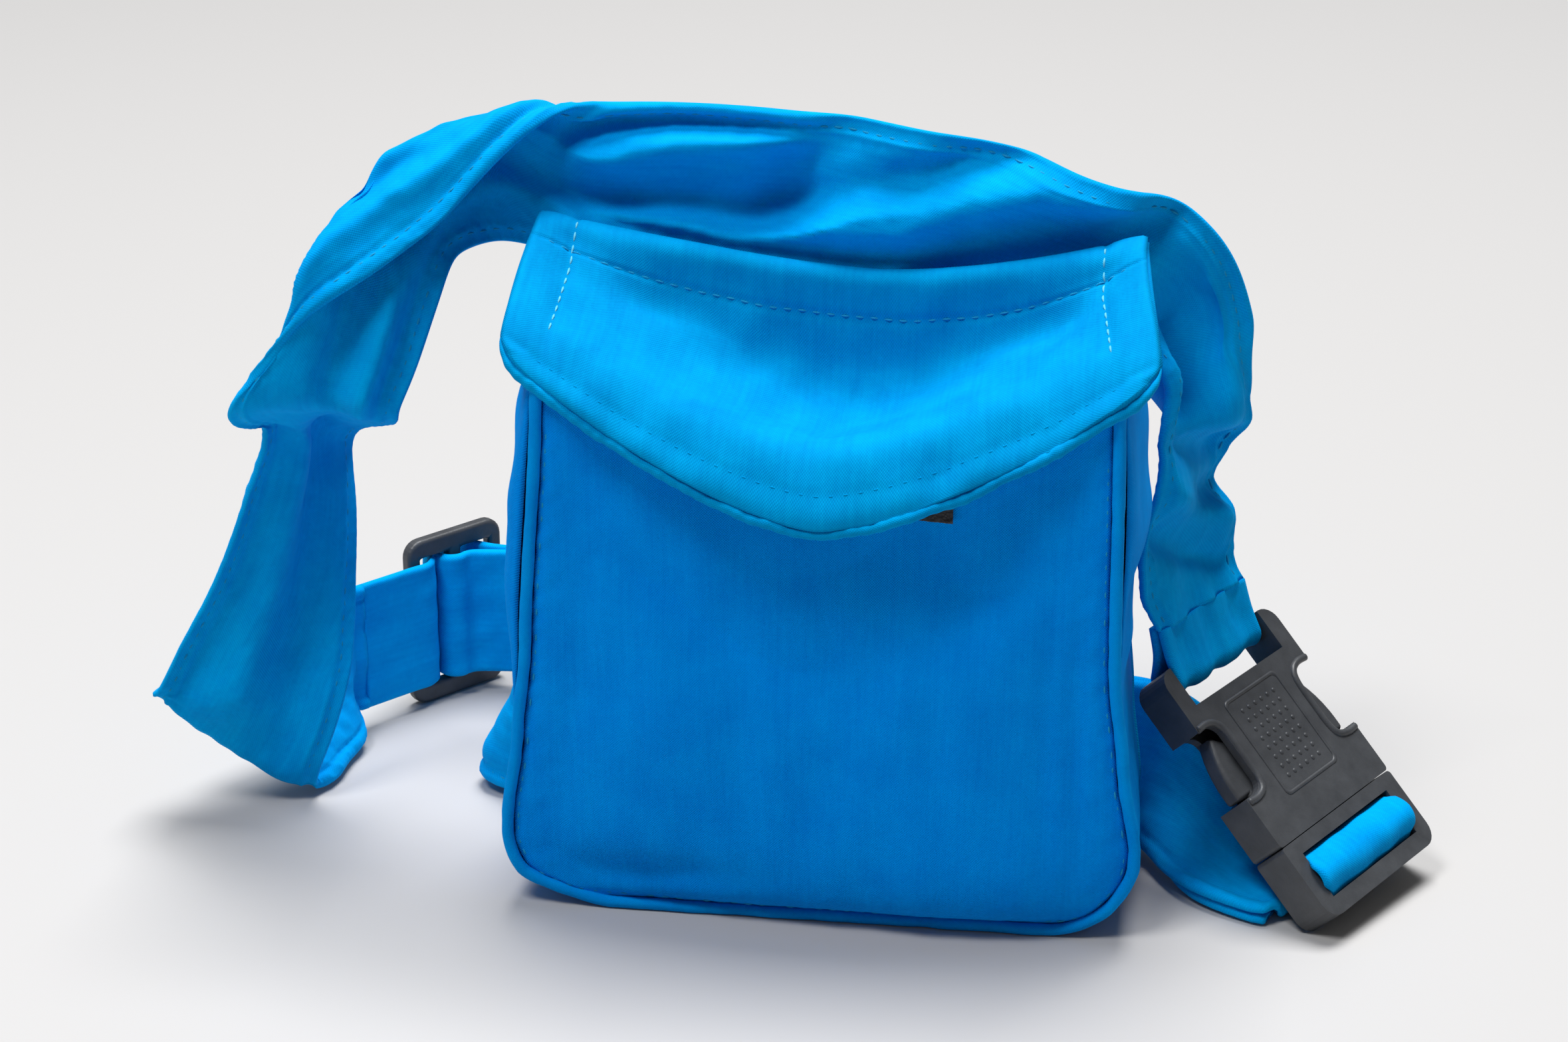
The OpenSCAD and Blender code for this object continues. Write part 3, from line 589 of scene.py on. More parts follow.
class POUCH_OT_stage(bpy.types.Operator):
    """Floor, soft light and the camera"""

    bl_idname = "pouch.stage"
    bl_label = "Stage"

    def execute(self, context):
        self.camera(context.scene)
        self.floor()
        self.light(context.scene)
        context.scene.view_settings.view_transform = "Standard"
        return {"FINISHED"}

    def camera(self, scene):
        view = scene.pouch_stage
        e, a = view.elevation, view.azimuth
        right = Vector((math.cos(a), math.sin(a), 0))
        up = Vector((-math.sin(a) * math.sin(e), math.cos(a) * math.sin(e), math.cos(e)))
        back = Vector((math.sin(a) * math.cos(e), -math.cos(a) * math.cos(e), math.sin(e)))
        pixels = FRAME_SIZE[0] * view.lens / SENSOR_W
        aside, above = AIM_PIXEL[0] - FRAME_SIZE[0] / 2, FRAME_SIZE[1] / 2 - AIM_PIXEL[1]
        off = Vector((aside, above)) / pixels * view.distance
        place = Vector(AIM_POINT) - off.x * right - off.y * up + view.distance * back
        data = bpy.data.cameras.new("view_camera")
        data.sensor_width = SENSOR_W
        data.lens = view.lens
        data.clip_start = 0.02
        camera = bpy.data.objects.new("view_camera", data)
        camera.matrix_world = Matrix.Translation(place) @ Matrix((right, up, back)).transposed().to_4x4()
        scene.collection.objects.link(camera)
        scene.camera = camera

    def floor(self):
        verts = [(-3, -2, 0), (3, -2, 0), (3, 6, 0), (-3, 6, 0)]
        floor = add_mesh("stage_floor", verts, [(0, 1, 2, 3)], smooth=False)
        mat, tree, shader = start_material("Pale Floor", Roughness=0.55)
        noise = tree.nodes.new("ShaderNodeTexNoise")
        noise.inputs["Scale"].default_value = 3.0
        tree.links.new(mix_colour(tree, noise.outputs["Fac"], *FLOOR_TONES), shader.inputs["Base Color"])
        floor.data.materials.append(mat)

    def light(self, scene):
        world = bpy.data.worlds.new("Soft Room")
        world.use_nodes = True
        world.node_tree.nodes["Background"].inputs["Color"].default_value = (1.0, 1.0, 1.0, 1)
        world.node_tree.nodes["Background"].inputs["Strength"].default_value = ROOM_LIGHT
        scene.world = world
        for name, place, target, size, power in LIGHTS:
            light = bpy.data.lights.new(name, "AREA")
            light.size = size
            light.energy = power
            obj = bpy.data.objects.new(name, light)
            turn = (Vector(target) - Vector(place)).to_track_quat("-Z", "Y")
            obj.matrix_world = Matrix.Translation(place) @ turn.to_matrix().to_4x4()
            scene.collection.objects.link(obj)


# ---------------------------------------------------------------- form of the pouch

# How far the filled pouch spreads past its pattern at its left and right edge, by height
FLARE_LEVELS = [0, 8, 20, 40, 60, 112]
FLARE_LEFT = [0.5, 8.3, 8.3, 6.3, 4.8, 3.0]
FLARE_RIGHT = [0.5, 1.8, 3.4, 0.9, -0.8, 0.0]

# Front panel: swells as height, middle in X and Z and spread in X and Z; slanted hollows under the flap as
# middle in X and Z, direction across the hollow and depth; upright creases as place, width and depth
FRONT_SWELLS = ((2.6, 26, 12, 26, 15), (2.4, 24, 62, 15, 34), (2.2, -34, 44, 16, 26))
FRONT_HOLLOWS = ((-17, 74, 0.73, 0.68, 5.6), (30, 80, -0.70, 0.71, 2.4))
FRONT_CREASES = ((50.5, 2.6, 1.3), (44.5, 2.6, 0.8), (-49, 3.2, 0.9))


def side_at(z, inset=0.0):
    """Half width of the pouch at a height."""
    return HALF_W + (HALF_TOP - HALF_W) * z / MOUTH_H - inset


def half_at(z, inset=0.0):
    """Half width of the pouch's outline at a height, with its rounded lower corners."""
    r = CORNER_R - inset
    low = side_at(CORNER_R, inset) - r
    drop = np.clip((CORNER_R - z) / r, 0, 1)
    return np.where(z < CORNER_R, low + r * np.sqrt(np.maximum(1 - drop**2, 0)), side_at(z, inset))


def eased(z, levels, values):
    """Value at a height, with a smooth rise between two levels."""
    z = np.asarray(z, float)
    i = np.clip(np.searchsorted(levels, z, side="right") - 1, 0, len(levels) - 2)
    low, high = np.take(levels, i), np.take(levels, i + 1)
    k = np.clip((z - low) / (high - low), 0, 1)
    return np.take(values, i) + (np.take(values, i + 1) - np.take(values, i)) * k * k * (3 - 2 * k)


def flare(u, z):
    """How far the filled pouch spreads past its pattern, at a position across it and a height."""
    spread = np.where(u < 0, -eased(z, FLARE_LEVELS, FLARE_LEFT), eased(z, FLARE_LEVELS, FLARE_RIGHT))
    return spread * np.abs(u) ** 1.5


def outline(inset, top, pitch=1.0, spread=1.0):
    """Left top, down, along the base and up to the right top, evenly spaced, as X and Z."""
    r = CORNER_R - inset
    low = side_at(CORNER_R, inset) - r
    left = np.array(arc((-low, CORNER_R), r, 180, 270, 24))
    rise = np.linspace(top, CORNER_R, 24)[:-1]
    sides = np.stack([-side_at(rise, inset), rise], axis=-1)
    line = np.concatenate([sides, left, left[::-1] * [-1, 1], sides[::-1] * [-1, 1]])
    line[:, 0] += flare(np.clip(line[:, 0] / half_at(line[:, 1], inset), -1, 1), line[:, 1]) * spread
    s = lengths(line)
    return along(line, s, np.linspace(0, s[-1], int(s[-1] / pitch) + 1))


def base_steps(count):
    """Steps from 0 to 1 up a panel, closer together near its base."""
    k, dense = np.linspace(0, 1, count)[:, None], 0.16
    return np.where(k < dense, dense * (k / dense) ** 1.7, k)


def front_face(u, z):
    """Depth of the front panel's face: a soft belly that is tucked under the piping at its edges."""
    half = half_at(z, PIPING_W)
    aside = (1 - np.abs(u)) * half
    below = np.maximum(z - PIPING_W, 0)
    edge = np.minimum(aside, below)
    x = u * half
    belly = 4.6 * hump(z, 18, 44) * (1 - np.abs(u - 0.10) ** 2.8)
    belly = belly - 1.6 * hump(z, 88, 14) * (1 - np.abs(u) ** 3)
    for high, px, pz, wide, tall in FRONT_SWELLS:
        belly += high * hump(x, px, wide) * hump(z, pz, tall)
    for px, pz, across, up, deep in FRONT_HOLLOWS:
        slant = (x - px) * across + (z - pz) * up
        down = (z - pz) * abs(across) - (x - px) * up * np.sign(across)
        belly -= deep * hump(slant, 0, 9) * hump(down, 0, 24)
    belly -= 2.4 * hump(x, -36, 19) * hump(z, 10 + 0.06 * (x + 36), 4.5)
    for place, width, deep in FRONT_CREASES:
        belly -= deep * hump(x, place + 0.05 * (z - 50), width) * hump(z, 48, 34)
    hold = (1 - np.exp(-np.maximum(aside, 0) / 5)) * (1 - np.exp(-below / 2.4))
    crease = ripple(x, z * 0.5, 5, 24) * 0.50 + ripple(x * 1.2, z * 0.4, 6, 11) * 0.20
    pucker = ripple(x, z, 9, 5.0) * 0.18 * np.exp(-np.maximum(edge, 0) / 5)
    out = np.maximum(belly, -0.6) * hold + crease * (1 - np.exp(-edge / 9)) + pucker
    return FRONT_Y - out + 0.9 * np.exp(-edge / 1.2) + 0.36 * hump(edge, 0.9, 0.7)


class POUCH_OT_walls(bpy.types.Operator):
    """Front, back and side cloth of the pouch, its lining and the hem inside its mouth"""

    bl_idname = "pouch.walls"
    bl_label = "Pouch walls"

    def execute(self, context):
        self.front()
        self.back()
        self.side()
        self.lining()
        self.hem()
        return {"FINISHED"}

    def front(self):
        u = np.linspace(-1, 1, 141)[None]
        top = MOUTH_H - MOUTH_SAG + (SIDE_TOP - MOUTH_H + MOUTH_SAG) * np.abs(u) ** 2.2
        z = FRONT_INSET + (top - FRONT_INSET) * base_steps(130)
        x = u * half_at(z, FRONT_INSET) + flare(u + 0 * z, z)
        y = front_face(u, z)
        inner_y = np.maximum(y + CLOTH_T, FRONT_INNER_Y)
        cloth_piece("front_cloth", points(x, y, z), points(x, inner_y, z), points(z, x, 0),
                    "Panel Cotton Painted Shade", "pouch", "cloth", ["front_panel"])

    def back(self):
        u = np.linspace(-1, 1, 81)[None]
        top = BACK_H - BACK_SAG * (1 - np.abs(u) ** 1.6)
        z = np.maximum(top * base_steps(90), 0.0)
        half = np.where(z < MOUTH_H, half_at(np.minimum(z, MOUTH_H)), HALF_TOP)
        x = u * half + 0.6 * flare(u + 0 * z, np.minimum(z, MOUTH_H))
        edge = np.minimum((1 - np.abs(u)) * half, z)
        ease = (1 - np.exp(-np.maximum(edge, 0) / 6)) * (z < 108)
        y = HALF_D + (0.5 * ripple(x, z, 31, 38) + 0.3 * ripple(x, z, 32, 14) - 0.4) * ease
        cloth_piece("back_cloth", points(x, y, z), points(x, y - CLOTH_T, z), points(z, x, 0),
                    "Brushed Cotton", "pouch", "cloth", ["back_panel"])

    def side(self):
        """Gusset round both sides and the base, with bulging walls and a rear edge tucked into the back."""
        front_y, rear_y, sewn_y, tuck_y, thick = -17.4, 19.6, 18.9, 18.2, 1.1
        line = outline(0.0, SIDE_TOP, 1.6)
        rear = outline(0.0, SIDE_TOP, 1.6, 0.6)
        rear = along(rear, np.linspace(0, 1, len(rear)), np.linspace(0, 1, len(line)))
        d = unit(np.gradient(line, axis=0))
        out_x, out_z = d[:, 1:], -d[:, :1]
        x, level = line[:, :1], line[:, 1:]
        s = lengths(line)[:, None]
        y = np.linspace(front_y, rear_y, 27)[None]
        wall = ramp(level, 14, 20)
        dome = np.sqrt(np.clip(1 - ((y - 0.7) / 18.2) ** 2, 0, 1))
        left = 7.0 * np.exp(-(((level - 82) / 34) ** 4))
        right = 4.2 * hump(level, 92, 22) - 0.6 * hump(level, 46, 18)
        waves = (0.6 * ripple(s, y, 41, 26) + 0.22 * ripple(s, y * 0.6, 42, 9)) * wall
        across = np.clip(np.minimum(y - front_y, sewn_y - y) / 9, 0, 1)
        tuck = 0.9 * wall * ramp(y, tuck_y, rear_y - tuck_y)
        lift = dome * wall * np.where(x < 0, left, right) + waves * across - 0.15 - tuck
        back = ramp(y, front_y, sewn_y - front_y)
        x = x * (1 - back) + rear[:, :1] * back + out_x * lift
        z = np.maximum(level + out_z * lift, 0.0) + SIDE_RISE * back * ramp(level, 92, SIDE_TOP - 92)
        cloth_piece("side_cloth", points(x, y, z), points(x - out_x * thick, y, z - out_z * thick),
                    points(s, y, 0), "Panel Cotton Painted Shade", "pouch", "cloth", ["side_gusset"])

    def lining(self):
        """Open bag: rings of a rounded rectangle, up its outside and down its inside."""
        def rings(inset, front, back, base):
            levels = [*(base + (CORNER_R - base) * np.linspace(0, 1, 9) ** 1.6), *np.linspace(22, 96, 16)]
            r = 2.5
            halves = [float(half_at(z, inset)) - r for z in levels]
            return np.array([[(*p, z) for p in rounded(half, front + r, back - r, r, 6)]
                             for half, z in zip(halves, levels)])
        outer = rings(2.85, -17.95, 18.65, 2.9)
        inner = rings(3.6, -17.2, 17.95, 3.7)
        bag = np.concatenate([outer, inner[::-1]])
        verts = bag.reshape(-1, 3)
        faces = ring_faces(*bag.shape[:2])
        obj = add_mesh("lining_cloth", verts * MM, faces, weave=verts[:, [2, 0, 1]] * MM)
        finish_piece(obj, "Lining Cotton", "pouch", ["lining"])

    def hem(self):
        half = side_at(MOUTH_H, FRONT_INSET) - 0.2
        x = np.linspace(-half, half, 90)[None]
        mouth = MOUTH_H - MOUTH_SAG * (1 - np.clip(np.abs(x) / half, 0, 1) ** 1.6)
        z = mouth - np.linspace(0.1, HEM_H, 12)[:, None]
        outer = points(x, HEM_Y, z)
        cloth_piece("mouth_hem_cloth", outer, outer + [0, 1.1, 0], points(z, x, 0),
                    "Brushed Cotton", "pouch", "cloth", ["mouth_hem"])


class POUCH_OT_piping(bpy.types.Operator):
    """Corded piping round the front panel, with the seam that holds it"""

    bl_idname = "pouch.piping"
    bl_label = "Piping"

    def execute(self, context):
        thickest = PIPING_R * 1.03
        line = outline(PIPING_R, SIDE_TOP, 0.8)
        s = lengths(line)
        y = PIPING_Y + 0.10 * ripple(s, 0 * s, 61, 9)
        path = points(line[:, 0], y, np.maximum(line[:, 1], thickest))
        radius = np.minimum(PIPING_R * (1 + 0.05 * ripple(s, 0 * s, 62, 5)), thickest)
        cord = tube("piping_cord", path, radius, 14)
        finish_piece(cord, "Piping Cotton Painted Shade", "pouch", ["front_piping"])
        inset, top = PIPING_W + 0.9, MOUTH_H - 4
        seam, spread = outline(inset, top, 1.0), outline(inset, top, 0.25)
        pattern = outline(inset, top, 0.25, 0.0)
        s, s_spread = lengths(seam), lengths(spread)
        share = np.interp(s, s_spread * s[-1] / s_spread[-1], np.linspace(0, 1, len(spread)))
        flat = along(pattern, np.linspace(0, 1, len(pattern)), share)
        depth = front_face(flat[:, 0] / np.maximum(half_at(flat[:, 1], PIPING_W), 1e-3), flat[:, 1])
        path = points(seam[:, 0], depth, seam[:, 1])
        stitches("piping_seam", path, np.broadcast_to([0.0, -1.0, 0.0], path.shape), lift=-0.28)
        return {"FINISHED"}


# ---------------------------------------------------------------- flap

# Nine rows of the flap from its fold to its rim: Y and Z of its middle, Y and Z of its sides, how far it
# reaches past the pouch, its skew to the left, the lean of its deepest line and how sharply it hollows
FLAP_ROWS = (
    (20.1, 130.8, 20.1, 140.4, 5, 3, 0.14, 1.6),
    (17.4, 129.4, 17, 140, 5, 3, 0.13, 1.6),
    (16.4, 119.6, 12.5, 139, 5.2, 3, 0.11, 1.9),
    (14.2, 110.4, 7.5, 137.4, 5.5, 2.8, 0.08, 1.7),
    (8.5, 104.4, 2.5, 135.3, 6, 2.6, 0.05, 1.35),
    (-4, 103.4, -2.5, 132.8, 6.6, 2.3, 0.02, 1.3),
    (-19.0, 107.2, -7.5, 130, 7.2, 2, 0, 1.5),
    (-26, 101.5, -12.5, 126.6, 7.8, 1.7, 0, 1.5),
    (-29.5, 93.5, -17, 122.9, 8, 1.5, 0, 1.5),
)
LAST_ROW = len(FLAP_ROWS) - 1
# Half width of the flap, distance between its rows, radius of its corners, and its side and rim hems
FLAP_HALF = 66.0
FLAP_ROW = 6.6
FLAP_CORNER = 6.5
SIDE_HEM = 8.6
RIM_HEM = 5.4
RIM_R = 1.15
# Levels of the flap's face, of its edge, of the edge where its two cloths meet and of their common plane
FACE_LEVEL, EDGE_LEVEL, MEET_LEVEL, PLANE_LEVEL = 1.2, 0.75, 0.55, 0.05

# Loop patch, as left and right edge, lower and upper edge and the depth of its pile; half width of the hooks
LOOP_SIDES = (-20, 24.5)
LOOP_LOW, LOOP_TOP = 94.4, 103.2
LOOP_Y = -20.4
HOOK_HALF = 22


def flap_at(rows, u):
    """Points of the flap's middle surface, in millimetres, at positions in its rows and across it."""
    rows, u = np.broadcast_arrays(np.asarray(rows, float), np.asarray(u, float))
    v = u.ravel()
    control = []
    for y, z, side_y, side_z, reach, skew, lean, form in FLAP_ROWS:
        k = np.abs(v - lean * (1 - v * v)) ** form
        control.append(points(v * (HALF_TOP + reach) - skew, y + (side_y - y) * k, z + (side_z - z) * k))
    return smooth_at(control, rows.ravel(), np.arange(len(v))).reshape(u.shape + (3,))


def round_corner(rows, u):
    """Positions moved in so that the flap's two lower corners are rounded."""
    rows, u = np.broadcast_arrays(np.asarray(rows, float), np.asarray(u, float))
    aside = FLAP_CORNER - (1 - np.abs(u)) * FLAP_HALF
    below = FLAP_CORNER - (LAST_ROW - rows) * FLAP_ROW
    inside = (aside > 0) & (below > 0)
    scale = np.where(inside, np.maximum(aside, below) / np.maximum(np.hypot(aside, below), 1e-6), 1.0)
    new_u = np.sign(u) * (1 - (FLAP_CORNER - aside * scale) / FLAP_HALF)
    new_rows = LAST_ROW - (FLAP_CORNER - below * scale) / FLAP_ROW
    return np.where(inside, new_rows, rows), np.where(inside, new_u, u)


def top_seam(u):
    """Row of the seam below the flap's fold, lower at the sides."""
    return 1.75 + 0.5 * u**2


class POUCH_OT_flap(bpy.types.Operator):
    """Flap: outer cloth, lining, rolled rim, folded side edges and stitches"""

    bl_idname = "pouch.flap"
    bl_label = "Flap"

    def execute(self, context):
        level, across = np.linspace(0, LAST_ROW, 121), np.linspace(-1, 1, 151)
        rows, u = round_corner(level[:, None], across[None])
        grid = flap_at(rows, u)
        normal = -grid_normals(grid)
        aside = (1 - np.abs(across))[None] * FLAP_HALF
        below = (LAST_ROW - level)[:, None] * FLAP_ROW
        lift = self.relief(grid[..., 0], rows, across[None], aside, below)
        side = (aside < 0.05) | (below < 0.02)
        weave = points(rows * FLAP_ROW, grid[..., 0], 0)

        def level_at(inner, edge, sign=1):
            return grid + sign * normal * np.where(side, edge, inner)[..., None]

        under, over = level_at(PLANE_LEVEL, MEET_LEVEL, -1), level_at(PLANE_LEVEL, MEET_LEVEL)
        cloth_piece("flap_cloth", level_at(lift, EDGE_LEVEL), over, weave,
                    "Flap Cotton Painted Shade", "flap", "cloth", ["flap_outer"], tie=False)
        cloth_piece("flap_lining_cloth", under, level_at(FACE_LEVEL, MEET_LEVEL, -1), weave,
                    "Lining Cotton", "flap", "lining", ["flap_lining"], tie=False)
        self.rim()
        self.seams(grid + normal * lift[..., None], normal, level, across)
        return {"FINISHED"}

    def relief(self, x, rows, across, aside, below):
        """Height of the cloth's face: rolls, drag folds at both sides, hems, puckers and the folded seam."""
        s = rows * FLAP_ROW
        edge = np.minimum(1, aside / 6) * np.minimum(1, rows / 1.5)
        rolls = (0.50 * ripple(x, s, 71, 26) + 0.20 * ripple(x, s, 72, 10)) * edge
        drag = 0.8 * wave(x * 0.55 + s * 0.83, 17) * hump(x, -34, 14)
        drag += 0.6 * wave(x * 0.60 - s * 0.80, 15) * hump(x, 38, 13)
        hem = 0.40 * hump(aside, 4, 3.2) - 0.42 * hump(aside, SIDE_HEM, 0.9)
        lower = 0.55 * hump(below, 2.2, 2.2) - 0.22 * hump(below, RIM_HEM, 1.2)
        pucker = 0.11 * wave(x, 3.1, 1.2 * ripple(x, s, 73, 15)) * hump(below, 4.5, 3.0)
        seam = rows - top_seam(across)
        fold = 0.30 * hump(seam, -0.8, 0.5) - 0.38 * hump(seam, 0, 0.10)
        fold += 0.12 * wave(x, 3.0) * hump(seam, 0, 0.35)
        return FACE_LEVEL + np.clip(rolls + drag * hump(s, 24, 12) + hem + lower + pucker + fold, -0.9, 1.3)

    def rim(self):
        """Rolled edge: a soft, puckered roll that runs round the point and up both side corners."""
        up, last = np.linspace(7.3, LAST_ROW, 24), float(LAST_ROW)
        run = np.linspace(-1, 1, 260)[1:-1]
        rows = np.concatenate([up, np.full(len(run), last), up[::-1]])
        u = np.concatenate([np.full(len(up), -1.0), run, np.full(len(up), 1.0)])
        rows, u = round_corner(rows, u)
        line = flap_at(rows, u)
        inner = flap_at(last - (last - rows) * 0.93 - 0.25, u * 0.975)
        s = lengths(line)
        path = line + 0.6 * ramp(np.minimum(s, s[-1] - s), 0, 8)[:, None] * unit(line - inner)
        s = lengths(path)
        path = along(path, s, np.linspace(0, s[-1], 420))
        for _ in range(4):
            path[1:-1] = (path[:-2] + 2 * path[1:-1] + path[2:]) / 4
        s = lengths(path)
        path = path + points(0, 0.20 * ripple(s, 0 * s, 75, 14), 0.20 * ripple(s, 0 * s, 76, 9))
        end = np.sqrt(np.clip(np.minimum(s, s[-1] - s) / 9, 0.02, 1))
        radius = RIM_R * end * (1 + 0.06 * ripple(s, 0 * s, 77, 4) + 0.05 * wave(s, PUCKER_PITCH))
        obj = tube("flap_rim_roll", path, radius, 16, squash=1.1)
        finish_piece(obj, "Flap Cotton Painted Shade", "flap", ["flap_rim"])

    def seams(self, face, normal, level, across):
        cols = np.arange(len(across))
        at = np.array([int(np.argmin(np.abs(level - top_seam(v)))) for v in across])
        inside = np.abs(across) < 0.965
        line, up = smoothed(face[at, cols], 4)[inside], normal[at, cols][inside]
        stitches("flap_top_seam", line, up, body="flap", lift=-0.1)
        span = (level > 0.4) & (level < 6.4)
        for name, sign in (("flap_left_seam", -1), ("flap_right_seam", 1)):
            j = int(np.argmin(np.abs(across - sign * (1 - SIDE_HEM / FLAP_HALF))))
            stitches(name, face[span, j], normal[span, j], "Pale Thread", "flap")
        at = int(np.argmin(np.abs(level - LAST_ROW + RIM_HEM / FLAP_ROW)))
        inside = np.abs(across) < 0.9
        stitches("flap_rim_seam", face[at][inside], normal[at][inside], "Flap Cotton Painted Shade", "flap", lift=-0.26)


class POUCH_OT_patches(bpy.types.Operator):
    """Hook patch under the flap and loop patch on the front panel"""

    bl_idname = "pouch.patches"
    bl_label = "Hook and loop patches"

    def execute(self, context):
        rng = np.random.default_rng(81)
        x = np.linspace(*LOOP_SIDES, 89)[None]
        k = np.linspace(0, 1, 27)[:, None]
        z = (LOOP_LOW - 0.06 * x) * (1 - k) + LOOP_TOP * k
        pile = LOOP_Y + rng.uniform(-0.12, 0.12, z.shape)
        base = np.minimum(front_face(x / 56, z), FRONT_Y)
        cloth_piece("loop_pile", points(x, np.minimum(pile, base - 0.75), z), points(x, base - 0.05, z),
                    points(z, x, 0), "Loop Pile", "pouch", "patch", ["loop_patch"])
        rows, u = np.linspace(6.55, 7.45, 17)[:, None], np.linspace(-1, 1, 81)[None] * HOOK_HALF / FLAP_HALF
        grid = flap_at(rows, u)
        normal = -grid_normals(grid)
        pile = 2.25 + rng.uniform(-0.10, 0.10, grid.shape[:2])
        cloth_piece("hook_pile", grid - normal * 1.3, grid - normal * pile[..., None],
                    points(rows * 6, grid[..., 0], 0), "Hook Pile", "flap", "patch", ["hook_patch"])
        return {"FINISHED"}


# ---------------------------------------------------------------- places on the buckle and slider


def turned(p, degrees):
    """Points turned about X, then Y, then Z."""
    p = np.asarray(p, float)
    for axis, value in enumerate(degrees):
        c, s = math.cos(math.radians(value)), math.sin(math.radians(value))
        i, j = [(1, 2), (2, 0), (0, 1)][axis]
        q = p.copy()
        q[..., i] = p[..., i] * c - p[..., j] * s
        q[..., j] = p[..., i] * s + p[..., j] * c
        p = q
    return p


BUCKLE_TURN = (44, -3, 57)
PLUG_CORNERS = [(x * BUCKLE_W / 2, -PLUG_L, z * BUCKLE_T / 2) for x in (-1, 1) for z in (-1, 1)]
BUCKLE_AT = np.array([HALF_W + 40.4, HALF_D - 10.4, -min(turned(p, BUCKLE_TURN)[2] for p in PLUG_CORNERS)])
SLIDER_TURN = (0, 0, 49)
SLIDER_AT = np.array([-HALF_W - 40, HALF_D + 60, 0.3])
SLIDER_PITCH = (SLIDER_L - SLIDER_BAR) / 2


def on_buckle(p):
    """Places points of the buckle's own frame: X across it, Y up the belt, Z out of its face."""
    return BUCKLE_AT + turned(p, BUCKLE_TURN)


def on_slider(p):
    """Places points of the slider's own frame: X along the belt, Z up its bars, -Y its front."""
    return SLIDER_AT + turned(p, SLIDER_TURN)


def buckle_row(y, z):
    return [list(on_buckle((x * PINCH_W / 2, y, z))) for x in (1, 0, -1)]


def slider_row(p):
    return [list(on_slider((p[0], p[1], SLIDER_H / 2 + k * PINCH_W / 2))) for k in (1, 0, -1)]


# ---------------------------------------------------------------- belt routes

# Where the belt leaves the socket, the plug and the slider, in their own frames, and how it lies on bars
LOOP_TILT, LOOP_LEG = 38, 12
LEG_Y = SOCKET_BAR + LOOP_LEG * math.cos(math.radians(LOOP_TILT))
LEG_UP = LOOP_LEG * math.sin(math.radians(LOOP_TILT))
PLUG_LEG = BUCKLE_T / 2 + 1
LEG_Z = -PLUG_LEG - 0.3
SLIDER_COS, SLIDER_SIN = math.cos(math.radians(SLIDER_TURN[2])), math.sin(math.radians(SLIDER_TURN[2]))
LEAVE_AT = np.array([15, -13.5])
LEAVE_WAY = np.array([SLIDER_COS, -SLIDER_SIN])
LEAVE_SIDE = np.array([-SLIDER_SIN, -SLIDER_COS])
WEAVE_FROM = -28
LAYER_SHIFT = 1.2
FACE_Y = SLIDER_T / 2 + BAR_GAP + BELT_T / 2
BAR_ROUND = math.hypot(SLIDER_T, SLIDER_BAR) / 2 + BAR_GAP + BELT_T / 2

# Rows of the belt from the socket to the slider: upper edge, middle and lower edge
UPPER_ROUTE = [buckle_row(LEG_Y, LEG_UP)] + [
    [[82, 42, 68], [75.5, 31, 67], [65, 11, 66]],
    [[78, 45, 79], [72.5, 34, 78], [65, 12, 76]],
    [[81, 43, 90], [75, 35, 89], [66, 13, 86]],
    [[84, 40, 104], [76, 33, 102], [66, 14, 96]],
    [[82, 37, 120], [74, 37, 112], [66, 16, 103]],
    [[76, 34, 136], [70, 35, 124], [66, 19, 110]],
    [[64, 30, 147], [62, 30, 133], [60, 22.5, 114]],
    [[50, 27, 151], [50, 27, 139], [50, 21.6, 116]],
    [[30, 28, 157], [30, 27, 143], [30, 21.5, 120]],
    [[10, 29, 160], [10, 27.5, 146], [10, 21.5, 122]],
    [[-10, 30, 162], [-10, 28, 148], [-10, 21.5, 124]],
    [[-30, 30, 163], [-30, 28, 149], [-30, 21.5, 125]],
    [[-50, 29, 163], [-50, 28, 149], [-50, 21.6, 125]],
    [[-60, 24, 163], [-64, 29, 155], [-61, 22, 131]],
    [[-70, 14, 157], [-75, 25, 161], [-71, 24, 133]],
    [[-79, 10, 147], [-86, 19, 159], [-77, 24, 133]],
    [[-85, 5, 141], [-95, 14, 154], [-81, 18, 133]],
    [[-91, 2, 137], [-101, 10, 148], [-83, 14, 132]],
    [[-98, -3, 132], [-105, 5, 143], [-84, 10, 128]],
    [[-110, -6, 125], [-107, 0, 135], [-87, 8, 119]],
    [[-118, -7, 115], [-109, -3, 124], [-90, 6, 110]],
    [[-128, -6, 103.5], [-112.5, -4, 108], [-94, 4, 100.5]],
    [[-127, 0, 98], [-113, 4, 101], [-96, 12, 96]],
    [[-123, 6, 95], [-118, 20, 90], [-113, 37, 83]],
    [[-129, 7, 78], [-121, 20, 73], [-112, 34, 68]],
    [[-138, 8, 57], [-126, 18, 53], [-112, 30, 49]],
    [[-146, 8, 43], [-130, 17, 40], [-112, 26, 37]],
    [[-152, 8, 31], [-133, 15, 29], [-113, 22, 27]],
    [[-153.5, 9, 30.5], [-137, 14.5, 20], [-119, 20, 9]],
    [[-154, 11, 29.5], [-139, 15.5, 15], [-123, 20.5, 1.4]],
    [[-148.5, 18.5, 32], [-133.5, 23.5, 17], [-118, 28, 1.4]],
    [[-138, 30, 35], [-128, 32.5, 18], [-118, 35, 1.4]],
    [[-126, 47, 37], [-122, 47, 19], [-117, 46, 1.6]],
] + [slider_row((WEAVE_FROM - k * 2, -FACE_Y)) for k in (2, 1, 0)]


def upright_row(x, y, top=39):
    """Row of a belt that stands upright on its lower edge."""
    return [[x, y, top], [x, y, 20], [x, y, 1.2]]


